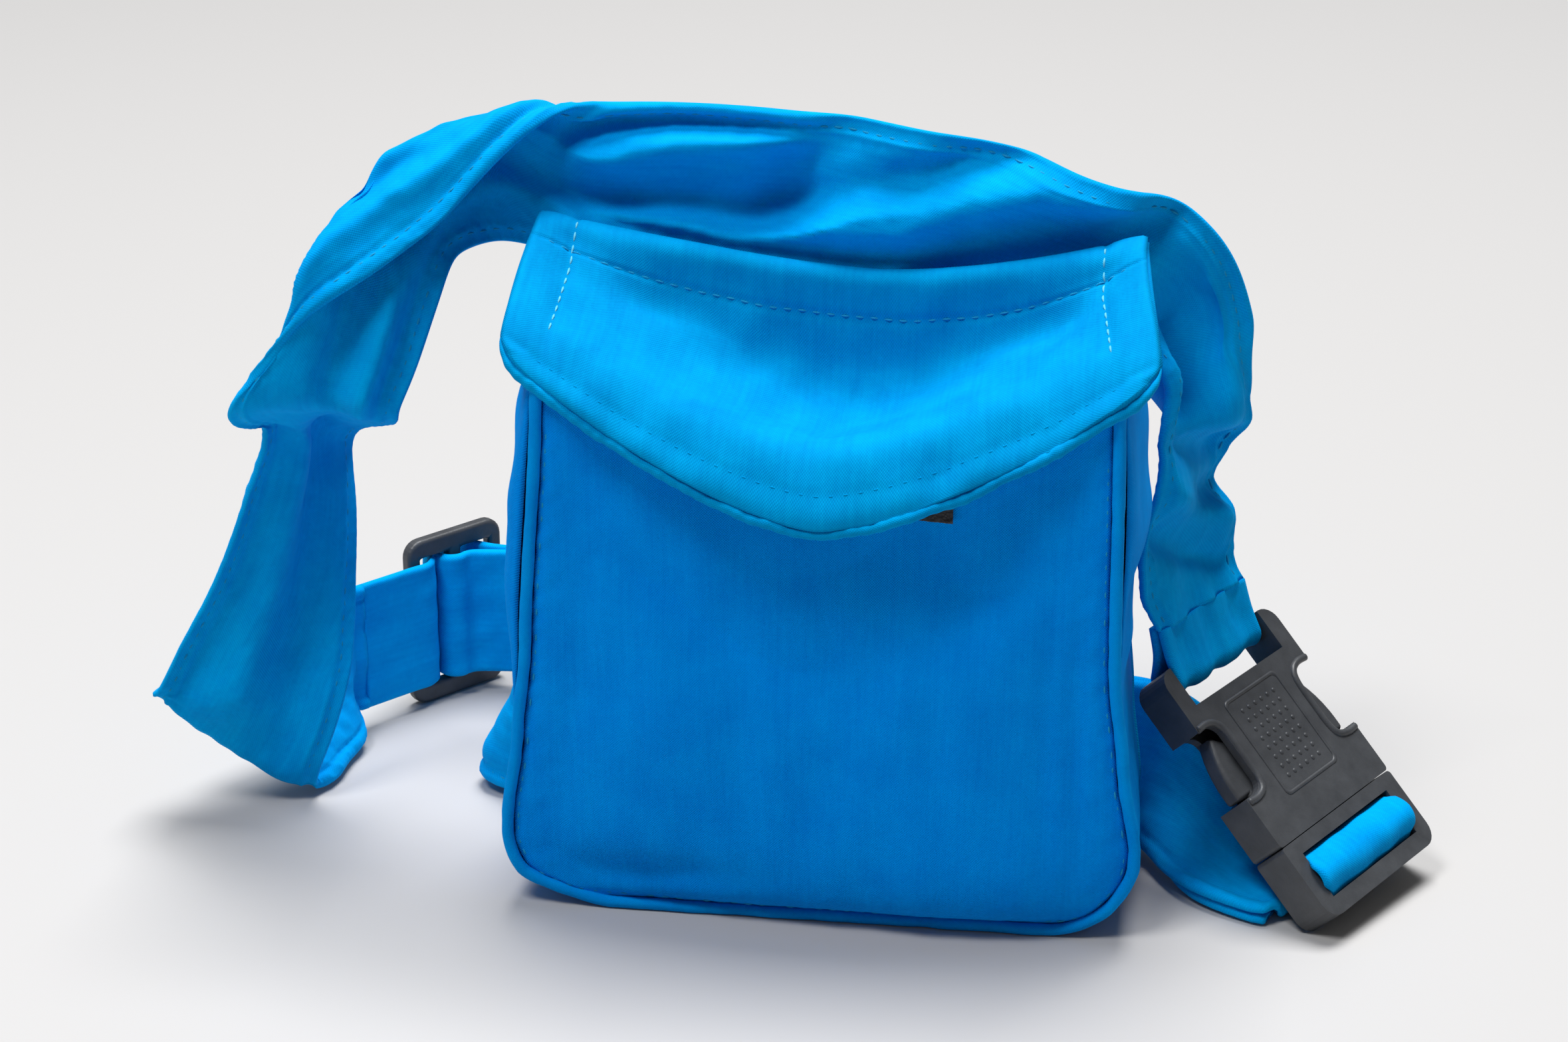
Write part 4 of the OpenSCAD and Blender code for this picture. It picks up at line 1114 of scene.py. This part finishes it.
# Rows of the spare belt from the slider to the plug
ADJUST_ROUTE = [slider_row(LEAVE_AT + k * 4 * LEAVE_WAY) for k in (0, 1, 2)] + [
    upright_row(-60, 82, 38), upright_row(-20, 81, 38.5), upright_row(12, 78),
    upright_row(32, 71), upright_row(40, 60), upright_row(32, 49),
    upright_row(12, 42), upright_row(-20, 40, 38.5),
    [[-54, 41, 38], [-56, 41, 20], [-58, 41, 1.2]],
    [[-66, 40.5, 36], [-72, 40, 19], [-78, 40, 1.8]],
    [[-71, 36, 35], [-79, 35.5, 18], [-86.5, 35, 2.6]],
    [[-67, 30, 36], [-74, 29, 19], [-81, 29, 1.8]],
    [[-52, 27, 38], [-56, 26.5, 20], [-60, 26.5, 1.2]],
    [[-15, 26, 38.5], [-16, 26, 20], [-17, 26, 1.2]],
    upright_row(30, 26.5, 38.5),
    [[60, 29, 38], [60, 28, 20], [60, 26, 1.6]],
    [[71, 31, 35], [69, 24, 16], [67, 13, 2.4]],
    [[81, 30, 27], [77, 17, 9], [73, 0, 2.4]],
    [[90, 28, 17], [86, 11.5, 5], [83, -7, 2.4]],
    [[98, 26, 10], [94, 9, 4.2], [90.5, -10, 2.6]],
] + [buckle_row(-PLUG_BAR, LEG_Z - k * 4) for k in (1, 0.5, 0)]

# Rows where one piece of belt ends and the next begins
HANG_ROW = 30
RUN_ROW = 5
LEAD_ROW = 18

# Points at the two ends of the hanging belt, of the spare belt's run and of its lead, near the slider and the
# plug, in metres
HANG_START, HANG_END = (-0.128, 0.034, 0.018), tuple(on_slider((-15.7, 0, 18)) * MM)
RUN_START, RUN_END = tuple(on_slider((10, -5, 18)) * MM), (-0.030, 0.081, 0.018)
LEAD_START, LEAD_END = (0.069, 0.024, 0.016), tuple(on_buckle((0, -PLUG_BAR, LEG_Z - 2)) * MM)


# ---------------------------------------------------------------- folds of the belt

# Folds of the band: how far each comes forward, its width and its line, first those that run along the band
# as X and Z, then those that run down it as Z and X
BAND_FOLDS = (
    (1.8, 1.7, [[-76, 152], [-63, 159.5], [-52, 161.5], [-26, 161.5], [-6, 160.5]]),
    (-4.2, 1.9, [[-80, 145], [-63, 155], [-53, 158], [-39, 159], [-12, 158.5]]),
    (5.0, 4.2, [[-76, 146], [-54, 151.5], [-35, 154.5], [-8, 157.5]]),
    (-5.6, 4.2, [[-84, 142], [-70, 143], [-52, 142.5], [-26, 142.5], [-6, 145]]),
    (4.2, 3.0, [[-66, 138], [-39, 138.2], [-26, 136.4], [-12, 133.6], [2, 131]]),
    (6.0, 5.6, [[-14, 131.5], [3, 137.5], [20, 143.5], [38, 148.5], [60, 147]]),
    (-2.2, 3.4, [[-4, 146], [20, 152.5], [40, 155]]),
    (-3.8, 4.0, [[12, 128], [34, 132.5], [48, 136.5], [60, 141.0], [72, 143]]),
)
BAND_DROPS = (
    (-4.0, 7.5, [[136, -26], [143, -19], [151, -13], [161, -5]]),
    (2.6, 9.5, [[130, -10], [143, 0], [151, 8], [162, 16]]),
)
CREST_FADE = 16

# Sideways sway of the falling belt's two edges, by height
FALL_LEVELS = [54, 60, 66, 73, 80, 87, 94, 101, 108, 120]
FALL_OUTER = [0, -2.6, -2.0, 0.2, -3.2, -1.6, 0.8, -1.2, -1.6, 0]
FALL_INNER = [0, -1.6, -2.8, -3.2, -2.6, -2.0, -1.4, -2.2, -2.4, 0]

# Folds of the arch as height, place across the belt and width
ARCH_TOP = ((1.56, 0.20, 0.06), (-1.82, 0.34, 0.07), (2.08, 0.60, 0.10), (-1.82, 0.76, 0.08))
# Folds below it: the rows they reach over, the row their places are for, and for each its height, place
# across the belt, drift from row to row and width
ARCH_FOLDS = (
    ((18.0, 1.2, 22.5, 0.7), 20, ((3.0, 0.50, 0.05, 0.10), (-2.8, 0.70, 0.03, 0.09), (1.6, 0.88, 0, 0.07))),
    ((22.8, 1.2, 29.5, 1.5), 25, ((3.0, 0.62, 0.03, 0.13), (-2.6, 0.36, 0.02, 0.13), (1.6, 0.10, 0, 0.09))),
    ((14, 1.5, 18.5, 1.5), 16,
     ((0.9, 0.30, 0.10, 0.045), (0.9, 0.52, -0.08, 0.045), (0.9, 0.80, 0.05, 0.045))),
)


def crest(x, z, line, width):
    """Fold along a line of (x, z) points: 1 on the line, falling off across it, faded at its ends."""
    line = np.array(line, float)
    middle = np.interp(x, line[:, 0], line[:, 1])
    first, last = line[0, 0] - CREST_FADE / 2, line[-1, 0] + CREST_FADE / 2
    low, high = ramp(x, first, CREST_FADE), ramp(-x, -last, CREST_FADE)
    return hump(z, middle, width) * low * low * (3 - 2 * low) * high * high * (3 - 2 * high)


def band_folds(x, z):
    """Folds of the band behind the flap, as seen from the front: how far each point comes forward."""
    out = sum(high * crest(x, z, line, width) for high, width, line in BAND_FOLDS)
    out += sum(high * crest(z, x, line, width) for high, width, line in BAND_DROPS)
    aside = np.abs(x) / FLAP_HALF
    middle, side = FLAP_ROWS[0][1], FLAP_ROWS[0][3]
    flap_top = middle + (side - middle) * np.clip(aside, 0, 1) ** 1.6
    return np.minimum(out, np.clip(z - flap_top - 1, 0, 6) + 4 * np.clip(aside - 1, 0, 1))


def inside_edges(share, steep):
    """0 at both edges of the belt and 1 between them."""
    return np.clip(share * steep, 0, 1) * np.clip((1 - share) * steep, 0, 1)


def fall_folds(z, share):
    """Folds of the belt that falls to the socket, from its outer edge at 0 to its inner edge at 1."""
    high = between(z, 97, 12, 152, 14) * (
        3.4 * hump(share, 0.92, 0.09) - 11.0 * hump(share, 0.62, 0.17) + 3.6 * hump(share, 0.22, 0.16))
    low = 3.0 * hump(share, 0.26, 0.26) * hump(z, 98.5, 5.5)
    low -= 4.2 * hump(z, 88.5 + 9 * share, 3.8) * np.clip((0.95 - share) * 4, 0, 1)
    low += 3.2 * hump(z, 69 + 20 * share, 5.0)
    low -= 3.0 * hump(z, 59 + 20 * share, 3.8) * ramp(z, 60, 6)
    return high + low * inside_edges(share, 6)


def fall_sway(z, share):
    """Sideways sway of the falling belt's two edges."""
    outer, inner = (eased(z, FALL_LEVELS, values) for values in (FALL_OUTER, FALL_INNER))
    return outer * (1 - share) ** 1.5 + inner * share**1.5


def arch_folds(row, share, s):
    """Folds of the twisted arch and of the end that hangs from it."""
    top, sway = between(row, 12.5, 1.5, 21, 1.5), 0.05 * np.sin(s / 13)
    out = sum(top * high * hump(share, place + sway, width) for high, place, width in ARCH_TOP)
    for reach, middle, folds in ARCH_FOLDS:
        for high, place, drift, width in folds:
            out = out + between(row, *reach) * high * hump(share, place + drift * (row - middle), width)
    return out * inside_edges(share, 7)


def rounded_half(edge, thickness):
    """Half of a cloth's thickness, rounded off within a millimetre of its edges."""
    return thickness / 2 * np.sqrt(np.clip(1 - (1 - np.clip(edge, 0, 1)) ** 2, 0, 1))


class BeltLine:
    """Fine grid of a belt route: rows along it, columns from the upper or outer edge to the lower one."""

    def __init__(self, route, seed, pitch=1.0, columns=46):
        route = np.array(route, float)
        count = len(route) - 1
        middle = smooth_at(route, np.linspace(0, count, 40 * count + 1))[:, 1]
        self.rows = even_positions(middle, pitch) * count
        across = np.linspace(0, 2, columns)
        self.grid = smooth_at(smooth_at(route, self.rows).transpose(1, 0, 2), across).transpose(1, 0, 2)
        self.soften_edges()
        self.normal = grid_normals(self.grid)
        self.s = lengths(self.grid[:, columns // 2])
        self.w, self.edge = self.widths()
        self.seed = seed
        self.relief = np.zeros(self.grid.shape[:2])

    def widths(self):
        """Distance of each point from the first edge, and from the nearer one."""
        w = np.stack([lengths(row) for row in self.grid])
        return w, np.minimum(w, w[:, -1:] - w)

    def soften_edges(self):
        """Rounds the sharp corners that a fold leaves at the belt's edges."""
        span, count = 7, len(self.grid)
        padded = np.pad(self.grid, ((span, span), (0, 0), (0, 0)), mode="edge")
        soft = sum(padded[k:k + count] for k in range(2 * span + 1)) / (2 * span + 1)
        edge = self.widths()[1]
        i = np.arange(count)
        away = ramp(np.minimum(i, i[::-1]), 12, 12)[:, None]
        self.grid += (soft - self.grid) * (away * hump(edge, 0, 5))[..., None]

    def near(self, row):
        return int(np.argmin(np.abs(self.rows - row)))

    def detail(self, start_pinch, end_pinch):
        """Height of the cloth's surface: folded edges, seam grooves with puckers, rolls and gathers."""
        w, edge = self.w, self.edge
        s = self.s[:, None] + 0 * w
        out = 0.45 * hump(edge, GROOVE_IN / 2, 1.6)
        out -= 0.70 * hump(edge, GROOVE_IN, 0.6) * (0.75 + 0.25 * wave(s, PUCKER_PITCH))
        out += 0.12 * wave(s, PUCKER_PITCH, 0.8 * ripple(s, w, self.seed + 1, 30)) * np.exp(-edge / 3.5)
        out += 0.30 * ripple(s * 0.7, w, self.seed + 2, 16) + 0.12 * ripple(s, w, self.seed + 3, 6)
        for pinch, far in ((start_pinch, s), (end_pinch, s[-1, 0] - s)):
            gather = wave(w, GATHER_PITCH, 1.1 * ripple(s, w, self.seed + 4, 40))
            out += pinch * gather * np.exp(-far / 13)
        return out

    def cloth(self, name, first, last, body, nodes, shift=0.0, start_pinch=0.0, end_pinch=0.0, seams=None):
        """Closed cloth between two rows, on both sides of a shifted middle; seams names its stitches."""
        part = slice(self.near(first), self.near(last) + 1)
        grid, normal, edge = self.grid[part], self.normal[part], self.edge[part]
        half = rounded_half(edge, BELT_T)
        bumps = np.clip((self.detail(start_pinch, end_pinch) * np.clip(self.edge, 0, 1))[part], -0.8, 0.8)
        shift = np.broadcast_to(shift, len(self.rows))[part, None] + self.relief[part]
        outer = grid + normal * (shift + half + bumps)[..., None]
        inner = grid + normal * (shift - half + bumps * 0.8)[..., None]
        for face in (outer, inner):
            face[..., 2] = np.maximum(face[..., 2], 0.05)
        weave = points(self.s[part, None], self.w[part], 0)
        obj = cloth_piece(name, outer, inner, weave, "Belt Cotton", body, "belt", nodes, tie=False)
        if seams:
            edge_seams(seams, outer, inner, normal, body)
        return obj


def edge_seams(name, outer, inner, normal, body):
    """Rows of stitches along both edges, on both faces."""
    w = np.stack([lengths(row) for row in outer])
    rows = np.arange(len(w))
    for side, face, sign in (("front", outer, 1), ("rear", inner, -1)):
        for edge, at in (("upper", STITCH_IN + 0 * w[:, -1]), ("lower", w[:, -1] - STITCH_IN)):
            cols = np.array([np.argmin(np.abs(row - v)) for row, v in zip(w, at)])
            line, up = smoothed(face[rows, cols], 3), sign * normal[rows, cols]
            stitches(f"{name}_{side}_{edge}_stitches", line, up, body=body, lift=-0.2)


class POUCH_OT_upper_belt(bpy.types.Operator):
    """Belt from the socket over the pouch's back, round the left side and down to the slider"""

    bl_idname = "pouch.upper_belt"
    bl_label = "Upper belt"

    def execute(self, context):
        line = BeltLine(UPPER_ROUTE, 100, pitch=0.9, columns=64)
        x, z = line.grid[..., 0], line.grid[..., 2]
        row = line.rows[:, None] + 0 * x
        share = line.w / line.w[:, -1:]
        fall = np.clip((7.2 - row) / 1.2, 0, 1)
        line.relief = -between(row, 6.3, 1.2, 14.2, 1.2) * band_folds(x, z) - fall * fall_folds(z, share)
        line.grid[..., 0] += fall * ramp(row, 0, 0.6) * fall_sway(z, share)
        line.relief += arch_folds(row, share, line.s[:, None])
        nodes = ["belt_right_fall", "belt_back_band", "belt_left_arch", "belt_left_hang"]
        obj = line.cloth("belt_upper_cloth", 0, HANG_ROW, "pouch", nodes, start_pinch=0.9, seams="belt_upper")
        last = len(UPPER_ROUTE) - 1
        obj = line.cloth("belt_turn_back_cloth", HANG_ROW, last, None, ["belt_turn_back"], end_pinch=0.2)
        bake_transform(obj)
        return {"FINISHED"}


class POUCH_OT_spare_belt(bpy.types.Operator):
    """Two layers of spare belt that run from the slider, behind the pouch and out to the plug"""

    bl_idname = "pouch.spare_belt"
    bl_label = "Spare belt"

    def execute(self, context):
        line = BeltLine(ADJUST_ROUTE, 200)
        last = len(ADJUST_ROUTE) - 1
        near_plug = np.clip(1 - np.maximum(0, 2 * last - 2 * line.rows - 2) / 5, 0, 1) ** 1.5
        spread = LAYER_SHIFT + (WRAP_R - LAYER_SHIFT) * near_plug
        for name, shift in (("strap", -spread), ("return", spread)):
            piece, run, lead = f"belt_{name}_", [f"belt_{name}_run"], [f"belt_{name}_lead"]
            obj = line.cloth(piece + "start_cloth", 0, RUN_ROW, None, run, shift, start_pinch=0.15)
            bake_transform(obj)
            obj = line.cloth(piece + "run_cloth", RUN_ROW, LEAD_ROW, "pouch", run, shift, seams=piece + "run")
            obj = line.cloth(piece + "lead_cloth", LEAD_ROW, last, None, lead, shift, end_pinch=0.35)
            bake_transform(obj)
        return {"FINISHED"}


def wrapped_cloth(name, path, place, width, seed, pinch, body, node):
    """Closed cloth swept across its width from a path of two numbers, which place() puts in the row frame."""
    path = np.array(path, float)
    count = len(path) - 1
    guide = smooth_at(path, np.linspace(0, count, 30 * count + 1))
    fine = smooth_at(path, even_positions(guide, 0.6) * count)
    w, s = np.linspace(-width / 2, width / 2, 42)[None], lengths(fine)[:, None]
    d = unit(np.gradient(fine, axis=0))
    normal = np.stack([-d[:, 1], d[:, 0]], axis=-1)
    edge = width / 2 - np.abs(w)
    gather = pinch * wave(w + width / 2, GATHER_PITCH, 1.1 * ripple(s, w, seed, 40))
    bumps = np.clip(gather + 0.12 * ripple(s, w, seed + 1, 7), -0.5, 0.25) * np.clip(edge, 0, 1)
    sides = []
    for sign, share in ((1, 1), (-1, 0.5)):
        off = sign * rounded_half(edge, BELT_T) + bumps * share
        sides.append(place(fine[:, None] + normal[:, None] * off[..., None], w + 0 * off))
    return cloth_piece(name, *sides, points(s, w, 0), "Belt Cotton", body, "belt", [node], tie=False)


def round_socket(p, w):
    tilted = turned(points(w, p[..., 0], p[..., 1]), (LOOP_TILT, 0, 0))
    return on_buckle(tilted + [0, SOCKET_BAR, 0])


def round_plug(p, w):
    wider = 1 + 0.09 * ramp(p[..., 0], 4.2, 1.0)
    return on_buckle(points(w * wider, p[..., 1] - PLUG_BAR, p[..., 0]))


def round_slider(p, w):
    return on_slider(points(p[..., 0], p[..., 1], SLIDER_H / 2 + w))


class POUCH_OT_belt_loops(bpy.types.Operator):
    """Belt cloth round the bars of the socket, the plug and the slider"""

    bl_idname = "pouch.belt_loops"
    bl_label = "Belt loops"

    def execute(self, context):
        self.buckle()
        self.slider()
        return {"FINISHED"}

    def buckle(self):
        path = [[LOOP_LEG, -1.9], [WRAP_R + 3, -1.6]] + arc((0, 0), WRAP_R, 300, 60, 12) + [
            [WRAP_R + 3, 1.1], [LOOP_LEG, 0]]
        wrapped_cloth("belt_socket_loop_cloth", path, round_socket, PINCH_W, 301, 0.5, "pouch",
                      "belt_female_loop")
        plump = [[0.5 + 5.4 * x, 4.6 * y] for x, y in arc((0, 0), 1, 90, -90, 14)]
        path = [[-PLUG_LEG, 3.2], [-2, 3.7]] + plump + [[-2, -3.7], [-PLUG_LEG, -3.2]]
        wrapped_cloth("belt_plug_loop_cloth", path, round_plug, SLOT_L - 0.3, 311, 0.12, "plug",
                      "belt_male_loop")

    def slider(self):
        """Strap that goes in over the middle bar and out again, and the end that is sewn round it."""
        layer = BAR_ROUND + BELT_T + BAR_GAP
        last = LEAVE_AT - LEAVE_SIDE * LAYER_SHIFT
        way_in = [[x, -FACE_Y] for x in (WEAVE_FROM, -SLIDER_PITCH - 3, SLIDER_BAR - SLIDER_PITCH - 1)] + [
            [-layer - 0.1, 0.2], [-4.7, layer - 2.1], [0, layer]]
        way_out = [[0, layer], [4.6, layer - 2.0], [7.0, 0.6], [9.4, -4.6], [*last - 4 * LEAVE_WAY], [*last]]
        last = LEAVE_AT + LEAVE_SIDE * LAYER_SHIFT
        end = [[*last], [*last - 4 * LEAVE_WAY], [4.2, -4.4]] + arc((0, 0), BAR_ROUND, 292, 60, 12)
        for name, path, seed, node in (("belt_weave_in_cloth", way_in, 321, "belt_slider_weave"),
                                       ("belt_weave_out_cloth", way_out, 331, "belt_slider_weave"),
                                       ("belt_end_loop_cloth", end, 341, "belt_end_loop")):
            obj = wrapped_cloth(name, path, round_slider, PINCH_W, seed, 0.14, None, node)
            if path is way_in:
                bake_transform(obj)
            else:
                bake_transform(obj)


# ---------------------------------------------------------------- buckle and slider

PLASTIC_NODES = ("buckle_female", "buckle_male", "male_prong_left", "male_prong_right", "male_tongue",
                 "slider_frame")
DOT_COLUMNS, DOT_PITCH, DOT_FROM, DOT_H = 6, 2.35, 11.6, 0.28
GRIP_MIDDLE, GRIP_HALF_W, GRIP_HALF_L = 19.8, 7.8, 9.8
# Section of the grip's raised frame, from its inner edge to its outer one, as size and height
GRIP_SECTION = ((1.0, -0.1), (1.0, 0.12), (1.035, 0.22), (1.075, 0.12), (1.075, -0.1))
# Edge of a side window, as X and Y on the socket
WINDOW_EDGE = [[20.6, 11.7], [17.5, 11.6], [14.8, 12.6], [13.7, 15.5], [13.6, 20.5], [13.7, 26.2],
               [14.9, 29.0], [17.5, 30.1], [20.6, 30.0]]


class POUCH_OT_hardware(bpy.types.Operator):
    """Buckle and slider: moulded edges, grip dots, their raised frame and rims round the side windows"""

    bl_idname = "pouch.hardware"
    bl_label = "Buckle and slider"

    def execute(self, context):
        hard = context.scene.pouch_hardware
        for name in PLASTIC_NODES:
            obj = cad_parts[name]
            obj.data.materials.clear()
            obj.data.materials.append(finished("Black Plastic"))
            weld = obj.modifiers.new("weld", "WELD")
            weld.merge_threshold = 0.00001
            bevel = obj.modifiers.new("edges", "BEVEL")
            bevel.width = hard.bevel
            bevel.segments = 4
            bevel.limit_method = "ANGLE"
            bevel.angle_limit = math.radians(40)
            bevel.harden_normals = True
        self.dots(hard.dot / MM, hard.dot_rows)
        self.grip_frame()
        self.window_rims()
        return {"FINISHED"}

    def on_face(self, name, verts, faces):
        """Raised detail of the socket's face, from points above it."""
        verts = np.array(verts) + [0, 0, BUCKLE_T / 2]
        finish_piece(add_mesh(name, on_buckle(verts) * MM, faces), "Black Plastic", "pouch")

    def dots(self, radius, rows):
        verts, faces, sides = [], [], 10
        section = ((1.0, -0.1), (1.0, 0.0), (0.8, DOT_H * 0.7), (0.4, DOT_H))
        for i in range(rows):
            for j in range(DOT_COLUMNS):
                middle = (j - (DOT_COLUMNS - 1) / 2) * DOT_PITCH, DOT_FROM + i * DOT_PITCH
                faces += ring_faces(len(section), sides, len(verts))
                for share, z in section:
                    verts += [(*p, z) for p in arc(middle, radius * share, 0, 360, sides + 1)[:-1]]
        self.on_face("socket_grip_dots", verts, faces)

    def grip_frame(self):
        line = rounded(GRIP_HALF_W, -GRIP_HALF_L, GRIP_HALF_L, 1.32, 8)
        verts = [(x * k, GRIP_MIDDLE + y * (k * 0.985 + 0.015), z) for k, z in GRIP_SECTION for x, y in line]
        faces = ring_faces(len(GRIP_SECTION), len(line), caps=False, loop=True)
        self.on_face("socket_grip_frame", verts, faces)

    def window_rims(self):
        bend = smooth_at(WINDOW_EDGE, np.linspace(0, len(WINDOW_EDGE) - 1, 60))
        for name, side in (("socket_left_rim", -1), ("socket_right_rim", 1)):
            path = on_buckle(points(side * bend[:, 0], bend[:, 1], BUCKLE_T / 2 - 0.15))
            obj = tube(name, path, 0.85, 12, up=(0.3, 0.2, 0.9))
            finish_piece(obj, "Black Plastic", "pouch")


# ---------------------------------------------------------------- panel and registration

STEPS = ("stage", "walls", "piping", "flap", "patches", "upper_belt", "spare_belt", "belt_loops", "hardware")
SETTINGS = {"pouch_cloth": ClothSettings, "pouch_hardware": HardwareSettings, "pouch_stage": StageSettings}


class POUCH_PT_panel(bpy.types.Panel):
    """Values and steps of the belt pouch"""

    bl_label = "Belt Pouch"
    bl_idname = "POUCH_PT_panel"
    bl_space_type = "VIEW_3D"
    bl_region_type = "UI"
    bl_category = "Belt Pouch"

    def draw(self, context):
        layout = self.layout
        for name in SETTINGS:
            group = getattr(context.scene, name)
            box = layout.box()
            for key in group.bl_rna.properties.keys():
                if key not in ("rna_type", "name"):
                    box.prop(group, key)
        for step in STEPS:
            layout.operator(f"pouch.{step}")


CLASSES = (*SETTINGS.values(), POUCH_OT_stage, POUCH_OT_walls, POUCH_OT_piping, POUCH_OT_flap,
           POUCH_OT_patches, POUCH_OT_upper_belt, POUCH_OT_spare_belt, POUCH_OT_belt_loops,
           POUCH_OT_hardware, POUCH_PT_panel)


def register():
    for cls in CLASSES:
        bpy.utils.register_class(cls)
    for name, group in SETTINGS.items():
        setattr(bpy.types.Scene, name, PointerProperty(type=group))


def unregister():
    for name in SETTINGS:
        delattr(bpy.types.Scene, name)
    for cls in reversed(CLASSES):
        bpy.utils.unregister_class(cls)


def main():
    register()
    for step in STEPS:
        getattr(bpy.ops.pouch, step)()


if __name__ == "__main__":
    main()
